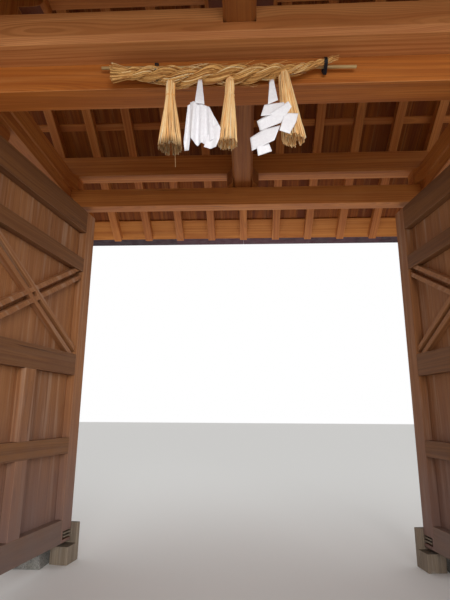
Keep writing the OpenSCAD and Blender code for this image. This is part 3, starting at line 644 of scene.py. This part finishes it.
def copperSlope(side):
    node = side + "_roof_skin"
    rng = random.Random(node)
    bm = cadCopy(node)
    easeEdges(bm, sheetSpec["ease"], 1)
    low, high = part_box(node)
    way, far = (-1, low.y) if side == "front" else (1, high.y)
    peak = high.z
    eave = max(vert.co.z for vert in bm.verts if abs(vert.co.y - far) < sheetSpec["eaveReach"])
    down = Vector((0, far, eave - peak))
    run = down.length - sheetSpec["eaveInset"]
    down.normalize()
    up = Vector((1, 0, 0)).cross(down) * way
    half = high.x - sheetSpec["inset"]
    courses = round(run / sheetSpec["run"])
    courseRun = run / courses
    tilt = atan2(sheetSpec["lift"], courseRun)
    for course in range(courses):
        offset = sheetSpec["length"] / 2 * (course % 2)
        at = -half
        while at < half - sheetSpec["least"]:
            to = min(half, at + sheetSpec["length"] - (offset if at == -half else 0))
            size = (to - at - sheetSpec["gap"], courseRun + sheetSpec["lap"],
                    sheetSpec["thickness"])
            spot = Vector((0, 0, peak)) + down * (courseRun * (course + 0.5)) + up * sheetSpec["lift"] * 0.5
            spot.x = (at + to) / 2
            turn = slopeTurn(down, up) @ Matrix.Rotation(tilt * rng.uniform(*sheetSpec["tilts"]), 4, "X")
            setBox(bm, size, Matrix.Translation(spot) @ turn)
            at = to
    markGrain(bm, rng)
    newPiece(bm, "copper_" + node, "oldCopper", "gate", [node])


seamSpec = {"width": 0.91, "change": 0.0, "gap": 0.0012, "ease": 0.0025, "segments": 2}


def copperEdges():
    for node in ("front_eave_edge", "rear_eave_edge", "ridge_cap"):
        low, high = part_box(node)
        finish = "oldCopper" if node == "ridge_cap" else "eaveCopper"
        cutPiece(cadCopy(node), node, (Vector(), Vector((1, 0, 0))), (low.x, high.x), seamSpec,
                 "copper_" + node, finish)


copperSlope("front")
copperSlope("rear")
copperEdges()
print("copper roof built")


# Stones and irons
stoneSpec = {"ease": 0.008, "cuts": 5, "roughness": 0.0025, "waves": 9.0, "foot": 0.001, "seed": 3}


def dressStones():
    bm = cadCopy("base_stones")
    easeEdges(bm, stoneSpec["ease"], 2)
    bmesh.ops.subdivide_edges(bm, edges=bm.edges, cuts=stoneSpec["cuts"], use_grid_fill=True)
    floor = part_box("base_stones")[0].z
    bm.normal_update()
    for vert in bm.verts:
        if vert.co.z > floor + stoneSpec["foot"]:
            worn = 0.5 + 0.5 * noise.noise(vert.co * stoneSpec["waves"])
            vert.co -= vert.normal * worn * stoneSpec["roughness"]
    markGrain(bm, random.Random(stoneSpec["seed"]))
    newPiece(bm, "dressed_base_stones", "granite", "gate", ["base_stones"])


ironSpec = {"ease": 0.0012, "segments": 1, "sharp": 40}


def dressIrons():
    for node in ("hinge_pintles", "left_leaf_irons", "right_leaf_irons"):
        bm = cadCopy(node)
        easeEdges(bm, ironSpec["ease"], ironSpec["segments"], ironSpec["sharp"])
        newPiece(bm, "forged_" + node, "forgedIron", bodyOf(node), [node])


dressStones()
dressIrons()
print("stones and irons built")


# Straw rope, tassels, papers
def strawMesh(name, paths, thickness, rng):
    curve = bpy.data.curves.new(name + "Line", "CURVE")
    curve.dimensions = "3D"
    curve.bevel_depth = thickness / 2
    curve.bevel_resolution = 0
    curve.use_fill_caps = True
    for path in paths:
        spline = curve.splines.new("POLY")
        spline.points.add(len(path) - 1)
        for point, (spot, width) in zip(spline.points, path):
            point.co = (*spot, 1.0)
            point.radius = width
    helper = addObject(name + "Line", curve)
    solid = helper.evaluated_get(bpy.context.evaluated_depsgraph_get())
    mesh = bpy.data.meshes.new_from_object(solid)
    bpy.data.objects.remove(helper)
    bpy.data.curves.remove(curve)
    mesh.name = name
    bm = bmesh.new()
    bm.from_mesh(mesh)
    member = bm.verts.layers.float.new("member")
    for part in looseParts(bm):
        number = rng.random()
        for vert in part:
            vert[member] = number
    for face in bm.faces:
        face.smooth = True
    bm.to_mesh(mesh)
    bm.free()
    return mesh


def between(table, share):
    for (a, low), (b, high) in zip(table[:-1], table[1:]):
        if share <= b:
            return low + (high - low) * (share - a) / (b - a)
    return table[-1][1]


# The rope sags between its ties, and its thin end climbs forward over the pole
ropeSpec = {
    "radii": [(0.0, 0.079), (0.05, 0.064), (0.1, 0.043), (0.16, 0.047), (0.22, 0.056), (0.3, 0.066),
              (0.4, 0.061), (0.5, 0.064), (0.58, 0.067), (0.67, 0.055), (0.73, 0.043), (0.8, 0.03),
              (0.9, 0.023), (1.0, 0.014)],
    "rise": [(0.0, -0.012), (0.1, -0.015), (0.19, -0.02), (0.26, -0.03), (0.33, -0.035), (0.42, -0.018),
             (0.52, -0.019), (0.6, -0.012), (0.7, -0.002), (0.8, 0.0), (0.86, 0.014), (0.92, 0.042),
             (1.0, 0.082)],
    "forward": [(0.0, 0.0), (0.55, 0.0), (0.7, 0.014), (0.8, 0.036), (0.88, 0.05), (1.0, 0.054)],
    "strands": 3, "strawsPerStrand": 40, "lay": 0.92, "backLay": 0.42, "strawThickness": 0.005,
    "steps": 118, "laid": (0.045, 0.965), "endReach": 0.012}


def ropeEnd(isThere):
    spots = [vert.co for vert in cadNodes["straw_rope"].data.vertices if isThere(vert.co.x)]
    return sum(spots, Vector()) / len(spots)


ropeLow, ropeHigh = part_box("straw_rope")
buttEnd = ropeEnd(lambda x: x < ropeLow.x + ropeSpec["endReach"])
tipEnd = ropeEnd(lambda x: x > ropeHigh.x - ropeSpec["endReach"])
ropeAxis = (tipEnd - buttEnd).normalized()
ropeSide = Vector((0, 0, 1)).cross(ropeAxis).normalized()
ropeUp = ropeAxis.cross(ropeSide)
ropeLength = (tipEnd - buttEnd).length


def ropeRadius(share):
    return between(ropeSpec["radii"], share)


def ropeLine(share):
    spot = buttEnd.lerp(tipEnd, share)
    return spot + Vector((0, -between(ropeSpec["forward"], share), between(ropeSpec["rise"], share)))


def aroundRope(angle):
    return ropeSide * cos(angle) + ropeUp * sin(angle)


# A point by its share of the rope's length, and by distance and angle around it
def ropePoint(share, distance, angle):
    return ropeLine(share) + aroundRope(angle) * distance


# Turn of the strands, and of the straws in them: the thinner the rope, the faster
def layAngles():
    first, last = ropeSpec["laid"]
    steps = ropeSpec["steps"]
    angles, angle, twist = [], 0.4, 0.0
    for step in range(steps + 1):
        share = first + (last - first) * step / steps
        angles.append((angle, twist))
        stride = ropeLength * (last - first) / steps / ropeRadius(share)
        angle -= ropeSpec["lay"] * stride
        twist += ropeSpec["backLay"] * stride
    return angles


# How a strand swells from the butt, where its straws lie in it, how thin they get
strandSpec = {
    "swellFrom": 0.45, "swellRun": 0.07, "wobble": 0.06, "hubAt": 0.52, "core": 0.86, "ring": 0.46,
    "thinnest": 0.45, "fullRadius": 0.06}


def strandPaths(rng, swellFrom, swellRun, wobble, hubAt, core, ring, thinnest, fullRadius):
    first, last = ropeSpec["laid"]
    steps, count = ropeSpec["steps"], ropeSpec["strawsPerStrand"]
    angles = layAngles()
    paths = []
    for strand in range(ropeSpec["strands"]):
        offset = tau * strand / ropeSpec["strands"]
        heart, hubs = [], []
        for step in range(steps + 1):
            share = first + (last - first) * step / steps
            swell = min(1.0, swellFrom + (1 - swellFrom) * (share - first) / swellRun)
            radius = ropeRadius(share) * swell * (1 + wobble * sin(3.1 * strand + 46 * share))
            hub = ropePoint(share, radius * hubAt, angles[step][0] + offset)
            hubs.append((share, hub, radius))
            heart.append((hub, radius * core / ropeSpec["strawThickness"]))
        paths.append(heart)
        for straw in range(count):
            own = tau * straw / count + rng.uniform(-0.1, 0.1)
            width, phase, loose = rng.uniform(0.7, 1.3), rng.uniform(0, 6.28), rng.uniform(0.02, 0.09)
            path = []
            for (share, hub, radius), (_, twist) in zip(hubs, angles):
                sway = 1 + loose * sin(phase + 41 * share)
                thin = thinnest + (1 - thinnest) * min(1.0, radius / fullRadius)
                path.append((hub + aroundRope(own + twist) * radius * ring * sway, width * thin))
            paths.append(path)
    return paths


# The cut butt: straws that spread from a waist in bundles, each given by its
# angle and how far out it lies
buttSpec = {
    "straws": 230, "steps": 7, "waist": 0.13, "ends": (0.023, 0.038), "depth": 0.4, "gather": 0.3,
    "widths": (1.0, 1.35), "bundles": [(1.65, 0.66), (pi * 1.02, 0.45), (4.6, 0.66), (0.0, 0.45)]}


def buttPaths(rng, straws, steps, waist, ends, depth, gather, widths, bundles):
    paths = []
    for straw in range(straws):
        middle, spread = bundles[straw % len(bundles)]
        turn, out = rng.uniform(0, tau), depth * sqrt(rng.random())
        end = rng.uniform(*ends)
        path = []
        for step in range(steps + 1):
            along = step / steps
            share = end + (waist - end) * along
            radius = ropeRadius(share)
            hub = ropePoint(share, radius * spread * (1 - gather * along), middle)
            path.append((hub + aroundRope(turn) * radius * out, rng.uniform(*widths)))
        paths.append(path)
    return paths


# Straws that leave the rope: at its tip, as fuzz along it, down to the second
# streamer, and in loops given by their share, angle and size
tipSpec = {"start": 0.9, "reach": (0.95, 1.0), "spreads": (0.2, 1.6), "radius": 0.012}
fuzzSpec = {"span": (0.1, 0.9), "lifts": (0.04, 0.16), "stride": 0.018}
trailSpec = {"start": 0.71, "bow": 0.02, "foot": (0.186, -0.766, 3.418)}
looseSpec = {
    "tips": 30, "fuzz": 120, "trails": 9, "loopStraws": 4, "loopSteps": 13, "loops": [(0.42, 1.5, 0.022),
    (0.31, 4.9, 0.018), (0.7, 1.2, 0.012)]}


def tipPath(rng, start, reach, spreads, radius):
    angle, end, spread = rng.uniform(0, tau), rng.uniform(*reach), rng.uniform(*spreads)
    return [(ropePoint(start + (end - start) * k / 6, radius * (0.6 + spread * k / 6), angle), 0.6)
            for k in range(7)]


def fuzzPath(rng, span, lifts, stride):
    share, angle, lift = rng.uniform(*span), rng.uniform(0, tau), rng.uniform(*lifts)
    radius = ropeRadius(share)
    return [(ropePoint(share + stride * k, radius * (0.92 + lift * k / 2), angle - 0.2 * k), 0.42)
            for k in range(5)]


def trailPath(rng, number, start, bow, foot):
    top = ropePoint(start + 0.002 * number, 0.02, 4.7)
    end = Vector((foot[0] + 0.004 * number, *foot[1:]))
    end += Vector((rng.uniform(-0.02, 0.01), rng.uniform(-0.01, 0.01), rng.uniform(-0.015, 0.01)))
    return [(top.lerp(end, k / 4) - Vector((0, bow * sin(pi * k / 4), 0)), 0.5) for k in range(5)]


def loopPath(share, angle, size, straw):
    centre = ropePoint(share, ropeRadius(share) * 1.02, angle)
    path = []
    for step in range(looseSpec["loopSteps"]):
        turn = tau * step / looseSpec["loopSteps"]
        away = ropeAxis * cos(turn) * size * (1.5 + 0.1 * straw) + ropeUp * sin(turn) * size * 0.7
        path.append((centre + away + ropeSide * 0.005 * (straw - 1.5), 0.8))
    return path


def loosePaths(rng):
    paths = [tipPath(rng, **tipSpec) for _ in range(looseSpec["tips"])]
    paths += [fuzzPath(rng, **fuzzSpec) for _ in range(looseSpec["fuzz"])]
    paths += [trailPath(rng, number, **trailSpec) for number in range(looseSpec["trails"])]
    return paths + [loopPath(*loop, straw) for loop in looseSpec["loops"]
                    for straw in range(looseSpec["loopStraws"])]


def ropePiece():
    rng = random.Random(11)
    paths = strandPaths(rng, **strandSpec) + buttPaths(rng, **buttSpec) + loosePaths(rng)
    mesh = strawMesh("twisted_rope", paths, ropeSpec["strawThickness"], rng)
    rideOn(mesh, "twisted_rope", "ropeStraw", "gate", ["straw_rope"])


# Each tassel: its share of the rope's length, how far its foot lies aside, its
# foot's radius, its length and how far down it is tied
tasselSpec = {
    "tassels": [(0.281, 0.012, 0.072, 0.53, 0.15), (0.531, -0.012, 0.06, 0.51, 0.15),
                (0.762, 0.054, 0.07, 0.49, 0.0)],
    "neck": 0.025, "untiedNeck": 1.25, "untiedDrop": 0.06, "untiedBack": 0.035, "straws": 210,
    "strawThickness": 0.006, "steps": 10, "uneven": 0.012, "innerShort": 0.03, "curlFrom": 0.85,
    "bandSteps": 16, "bandTurns": 3, "bandRise": 0.004, "bandRadius": 1.2}


# Straw wound round a tassel's neck, with a loose end
def bandPath(top, drop):
    steps = tasselSpec["bandSteps"]
    band = []
    for step in range(steps * tasselSpec["bandTurns"] + 1):
        angle = tau * step / steps
        ring = Vector((cos(angle), sin(angle), 0)) * tasselSpec["neck"] * tasselSpec["bandRadius"]
        band.append((top + ring - Vector((0, 0, drop + tasselSpec["bandRise"] * step / steps)), 0.8))
    last = band[-1][0]
    return band + [(last + Vector((-0.012 * k, -0.006, 0.002 * k)), 0.6) for k in range(1, 5)]


def tasselPaths(rng, share, aside, foot, length, tieDrop):
    paths = []
    top = ropePoint(share, 0, 0) + Vector((0, -0.004, 0))
    neck = tasselSpec["neck"] * (1.0 if tieDrop else tasselSpec["untiedNeck"])
    held = (tieDrop or tasselSpec["untiedDrop"]) / length
    back = 0.0 if tieDrop else tasselSpec["untiedBack"]
    for straw in range(tasselSpec["straws"]):
        outer = straw % 5 < 3
        turn = rng.uniform(0, tau)
        depth = rng.uniform(0.88, 1.05) if outer else sqrt(rng.random()) * 0.85
        short = 0.0 if outer else tasselSpec["innerShort"]
        own = length * (1 + tasselSpec["uneven"] * rng.gauss(0, 1) - short)
        wave, phase = rng.uniform(0.001, 0.005), rng.uniform(0, 6.28)
        curl = rng.uniform(0.0, 0.005) if outer else rng.uniform(0.004, 0.016)
        path = []
        for step in range(tasselSpec["steps"] + 1):
            along = step / tasselSpec["steps"]
            spread = max(0.0, along - held) / (1 - held)
            gathered = min(1.0, 0.4 + 1.5 * along / held)
            radius = neck * gathered + (foot - neck) * spread
            spot = Vector((cos(turn), sin(turn), 0)) * radius * depth
            spot.x += aside * spread + wave * sin(5 * along + phase)
            spot.y += wave * cos(5 * along + phase) + back * spread
            if along > tasselSpec["curlFrom"]:
                spot += Vector((cos(phase), sin(phase), 0.25)) * curl
            spot.z -= own * along
            path.append((top + spot, 1.0 if outer else 0.8))
        paths.append(path)
    return paths + [bandPath(top, tieDrop)] if tieDrop else paths


def tasselPieces():
    rng = random.Random(23)
    paths = []
    for tassel in tasselSpec["tassels"]:
        paths += tasselPaths(rng, *tassel)
    first = ropePoint(tasselSpec["tassels"][0][0], 0, 0)
    paths.append([(first + Vector((0.03 + 0.004 * k, -0.03, -0.28 - 0.066 * k)), 0.6) for k in range(7)])
    mesh = strawMesh("hanging_tassels", paths, tasselSpec["strawThickness"], rng)
    foot = ropeLine(0.5).z - tasselSpec["tassels"][0][3]
    values = [max(0.0, min(1.0, 1 - (vert.co.z - foot) / 0.5)) for vert in mesh.vertices]
    mesh.attributes.new("along", "FLOAT", "POINT").data.foreach_set("value", values)
    rideOn(mesh, "hanging_tassels", "tasselStraw", "gate", ["straw_tassels"])


# In millimetres: flat panels by their corners, and how far their left, right and
# top stand back; pleated ones by each fold's top and foot, and how far it does
paperSpec = {
    "plane": -0.7715, "thickness": 0.0012, "crumple": 0.004, "sideCrumple": 0.3, "waves": 14.0,
    "sideWaves": 21.0, "panelStep": 0.005, "pleatStep": 0.006, "foldShares": (0, 0.33, 0.66, 1),
    "smoothings": (0.0, 0.7, 0.5), "sharp": 34,
    "panels": [
        ([(-271, 3475), (-246, 3475), (-220, 3244), (-282, 3262)], 12, 12, 60),
        ([(187, 3430), (213, 3436), (235, 3270), (172, 3233)], 0, 6, 20),
        ([(149, 3233), (275, 3278), (279, 3224), (220, 3165), (127, 3140)], -12, 20, 30),
        ([(104, 3133), (295, 3229), (314, 3193), (250, 3105), (121, 3070)], 16, -20, -30),
        ([(272, 3164), (361, 3185), (343, 3115), (299, 3011), (236, 3024)], -24, 14, 30),
        ([(61, 3028), (146, 3079), (245, 3088), (206, 2978), (71, 2922)], 14, -30, 35),
        ([(99, 2945), (175, 2972), (192, 2924), (108, 2887)], -12, 10, -15)],
    "pleats": [
        [(-328, 3253, -346, 3000, 0), (-310, 3270, -342, 2948, 20), (-285, 3272, -314, 2940, 4)],
        [(-312, 3277, -318, 3120, 26), (-285, 3272, -299, 3004, -22), (-262, 3266, -262, 2976, 22),
         (-238, 3258, -236, 2983, -6), (-212, 3246, -205, 2972, 14), (-190, 3228, -178, 2985, -22),
         (-170, 3190, -142, 3020, 4), (-146, 3140, -120, 3075, -12)],
        [(-200, 3020, -217, 2937, -24), (-170, 3080, -180, 2934, -6), (-130, 3100, -144, 2935, -26),
         (-118, 3075, -124, 3000, -16)]]}


def metres(values):
    return [value / 1000 for value in values]


def flatPanels(bm):
    for number, (corners, *backs) in enumerate(paperSpec["panels"]):
        left, right, lean = metres(backs)
        corners = [metres(corner) for corner in corners]
        low, high = min(c[0] for c in corners), max(c[0] for c in corners)
        foot, head = min(c[1] for c in corners), max(c[1] for c in corners)
        nearer = paperSpec["plane"] - paperSpec["panelStep"] * (number % 5)
        verts = []
        for x, z in corners:
            depth = nearer + left + (right - left) * (x - low) / (high - low)
            depth += lean * ((z - foot) / (head - foot) - 0.5)
            verts.append(bm.verts.new((x, depth, z)))
        bmesh.ops.triangulate(bm, faces=[bm.faces.new(verts)])


def pleatedPanels(bm):
    for number, folds in enumerate(paperSpec["pleats"]):
        nearer = paperSpec["plane"] - paperSpec["pleatStep"] * number
        rows = []
        for x, z, footX, footZ, out in map(metres, folds):
            rows.append([bm.verts.new((x + (footX - x) * share, nearer + out * (0.35 + 0.65 * share),
                                       z + (footZ - z) * share)) for share in paperSpec["foldShares"]])
        for near, far in zip(rows[:-1], rows[1:]):
            for k in range(len(near) - 1):
                bm.faces.new((near[k], near[k + 1], far[k + 1], far[k]))


def paperPieces():
    bm = bmesh.new()
    flatPanels(bm)
    pleatedPanels(bm)
    for smoothing in paperSpec["smoothings"]:
        bmesh.ops.subdivide_edges(bm, edges=bm.edges, cuts=1, use_grid_fill=True, smooth=smoothing)
    bmesh.ops.recalc_face_normals(bm, faces=bm.faces)
    crumple, aside = paperSpec["crumple"], paperSpec["sideCrumple"]
    for vert in bm.verts:
        vert.co.y += crumple * noise.noise(vert.co * paperSpec["waves"])
        vert.co.x += aside * crumple * noise.noise(vert.co * paperSpec["sideWaves"] + Vector((7, 0, 0)))
    made = newPiece(bm, "folded_papers", "foldedPaper", "gate", ["paper_streamers"], True)
    made.data.set_sharp_from_angle(angle=radians(paperSpec["sharp"]))
    shell = made.modifiers.new("paperThickness", "SOLIDIFY")
    shell.thickness = paperSpec["thickness"]
    shell.offset = 0.0


# The pole lies a little askew, its right end lower
poleSpec = {"turn": 1.53, "shift": (0.03, 0.0, -0.0115), "ease": 0.001, "sharp": 60}
poleLow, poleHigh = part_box("rope_pole")
poleMiddle = (poleLow + poleHigh) / 2 + Vector(poleSpec["shift"])
poleRadius = (poleHigh.z - poleLow.z) / 2


def polePoint(x):
    fall = (x - poleMiddle.x) * tan(radians(poleSpec["turn"]))
    return Vector((x, poleMiddle.y, poleMiddle.z - fall))


def polePiece():
    bm = cadCopy("rope_pole")
    easeEdges(bm, poleSpec["ease"], 1, poleSpec["sharp"])
    bmesh.ops.translate(bm, verts=bm.verts, vec=poleSpec["shift"])
    bmesh.ops.rotate(bm, verts=bm.verts, cent=poleMiddle,
                     matrix=Matrix.Rotation(radians(poleSpec["turn"]), 3, "Y"))
    newPiece(bm, "bamboo_pole", "dryBamboo", "gate", ["rope_pole"], smooth=True)


tieSpec = {
    "right": 0.93, "left": 0.213, "cord": 0.0064, "wraps": 4, "stride": 0.95, "hangs": 0.03,
    "hangRadius": 0.012, "leftWraps": 2, "leftRadius": 0.72, "beltSteps": 28, "nailInset": 0.01}
knotSpec = {
    "steps": 60, "perTurn": 12, "swing": 0.009, "pace": 0.21, "proud": 0.004, "depth": 0.012, "rise": 0.01}


# A cord wound as a belt round several rounds, each given by its centre and radius
def beltPath(x, rounds, turns, step):
    perTurn = tieSpec["beltSteps"]
    path = []
    for k in range(turns * perTurn + 1):
        angle = tau * k / perTurn
        out = Vector((0, cos(angle), sin(angle)))
        reached = [centre + out * radius for centre, radius in rounds]
        spot = max(reached, key=lambda point: point.yz.dot(out.yz))
        path.append((Vector((x + step * k / perTurn, spot.y, spot.z)), 1.0))
    return path


def knotPath(pole, steps, perTurn, swing, pace, proud, depth, rise):
    turns = [tau * k / perTurn for k in range(steps)]
    return [(pole + Vector((swing * sin(turn * pace), -poleRadius - proud + depth * cos(turn),
                            poleRadius + rise * sin(turn))), 1.0) for turn in turns]


def tiePiece():
    rng = random.Random(5)
    cord, wraps = tieSpec["cord"], tieSpec["wraps"]
    stride = cord * tieSpec["stride"]
    rope = ropeLine(tieSpec["right"])
    pole = polePoint(rope.x)
    rounds = [(rope, ropeRadius(tieSpec["right"]) + cord / 2), (pole, poleRadius + cord / 2),
              (pole + Vector((0, 0.012, -tieSpec["hangs"])), tieSpec["hangRadius"])]
    paths = [beltPath(rope.x, rounds, wraps, stride)]
    over = [(centre, radius + cord * 0.7) for centre, radius in rounds]
    paths.append(beltPath(rope.x + cord / 2, over, wraps - 1, stride))
    rope = ropeLine(tieSpec["left"])
    pole = polePoint(rope.x)
    rounds = [(rope, ropeRadius(tieSpec["left"]) * tieSpec["leftRadius"]), (pole, poleRadius + cord / 2)]
    paths.append([(spot, 0.8) for spot, _ in beltPath(rope.x, rounds, tieSpec["leftWraps"], cord)])
    paths.append(knotPath(pole, **knotSpec))
    low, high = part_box("rope_ties")
    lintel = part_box("door_lintel")[0].y
    for x in (low.x + tieSpec["nailInset"], high.x - tieSpec["nailInset"]):
        head = polePoint(x) + Vector((0, poleRadius - 0.004, 0))
        paths.append([(head, 1.0), (Vector((x, lintel + 0.001, head.z)), 1.0)])
    mesh = strawMesh("black_ties", paths, cord, rng)
    rideOn(mesh, "black_ties", "blackTie", "gate", ["rope_ties"])


ropePiece()
tasselPieces()
paperPieces()
polePiece()
tiePiece()
print("rope, tassels and papers built")


# Floor, light and camera
floorSpec = {"size": 60.0, "colour": (0.78, 0.77, 0.75, 1.0), "roughness": 0.9}


def makeFloor():
    bm = bmesh.new()
    bmesh.ops.create_grid(bm, x_segments=1, y_segments=1, size=floorSpec["size"])
    mesh = bpy.data.meshes.new("paleFloor")
    bm.to_mesh(mesh)
    bm.free()
    floor = addObject("paleFloor", mesh)
    material, _, shader = newMaterial("paleFloor")
    shader.inputs["Base Color"].default_value = floorSpec["colour"]
    shader.inputs["Roughness"].default_value = floorSpec["roughness"]
    mesh.materials.append(material)


lightSpec = {
    "sky": 0.72, "spread": 100.0, "lamps": [("frontLamp", (2.6, -12.4, 4.0), (-0.2, 0, 2.6), 5.5, 305.0),
    ("groundBounce", (0.0, 5.6, 0.05), (0.0, 5.6, 5.0), 4.5, 125.0)]}


def makeLight():
    world = bpy.data.worlds.new("softDaylight")
    scene.world = world
    world.use_nodes = True
    tree = world.node_tree
    tree.nodes.clear()
    path = addNode(tree, "LightPath").outputs
    mirrored = calc(tree, "MAXIMUM", path["Is Glossy Ray"], path["Is Transmission Ray"])
    seen = calc(tree, "MAXIMUM", path["Is Camera Ray"], mirrored)
    strength = calc(tree, "MULTIPLY_ADD", seen, 1.0 - lightSpec["sky"], lightSpec["sky"])
    background = addNode(tree, "Background", {"Color": (1.0, 1.0, 1.0, 1.0), "Strength": strength})
    output = tree.nodes.new("ShaderNodeOutputWorld")
    tree.links.new(background.outputs[0], output.inputs[0])
    for name, spot, aim, size, power in lightSpec["lamps"]:
        data = bpy.data.lights.new(name, "AREA")
        data.energy, data.size = power, size
        data.spread = radians(lightSpec["spread"])
        lamp = addObject(name, data)
        lamp.location = spot
        lamp.rotation_euler = (Vector(aim) - Vector(spot)).to_track_quat("-Z", "Y").to_euler()
        lamp.visible_camera = False


cameraSpec = {
    "place": (0.0329, -3.2464, 1.3887), "pitch": 13.80, "turn": 2.76, "roll": 0.337, "lens": 27.42,
    "sensor": 36.0, "far": 200.0}


def makeCamera():
    data = bpy.data.cameras.new("visitorView")
    data.lens = cameraSpec["lens"]
    data.sensor_width, data.clip_end = cameraSpec["sensor"], cameraSpec["far"]
    camera = addObject("visitorView", data)
    turn, pitch, roll = (radians(cameraSpec[name]) for name in ("turn", "pitch", "roll"))
    camera.matrix_world = (Matrix.Translation(cameraSpec["place"]) @ Matrix.Rotation(turn, 4, "Z")
                           @ Matrix.Rotation(pi / 2 + pitch, 4, "X") @ Matrix.Rotation(roll, 4, "Z"))
    scene.camera = camera


makeFloor()
makeLight()
makeCamera()
print("floor, light and camera set")
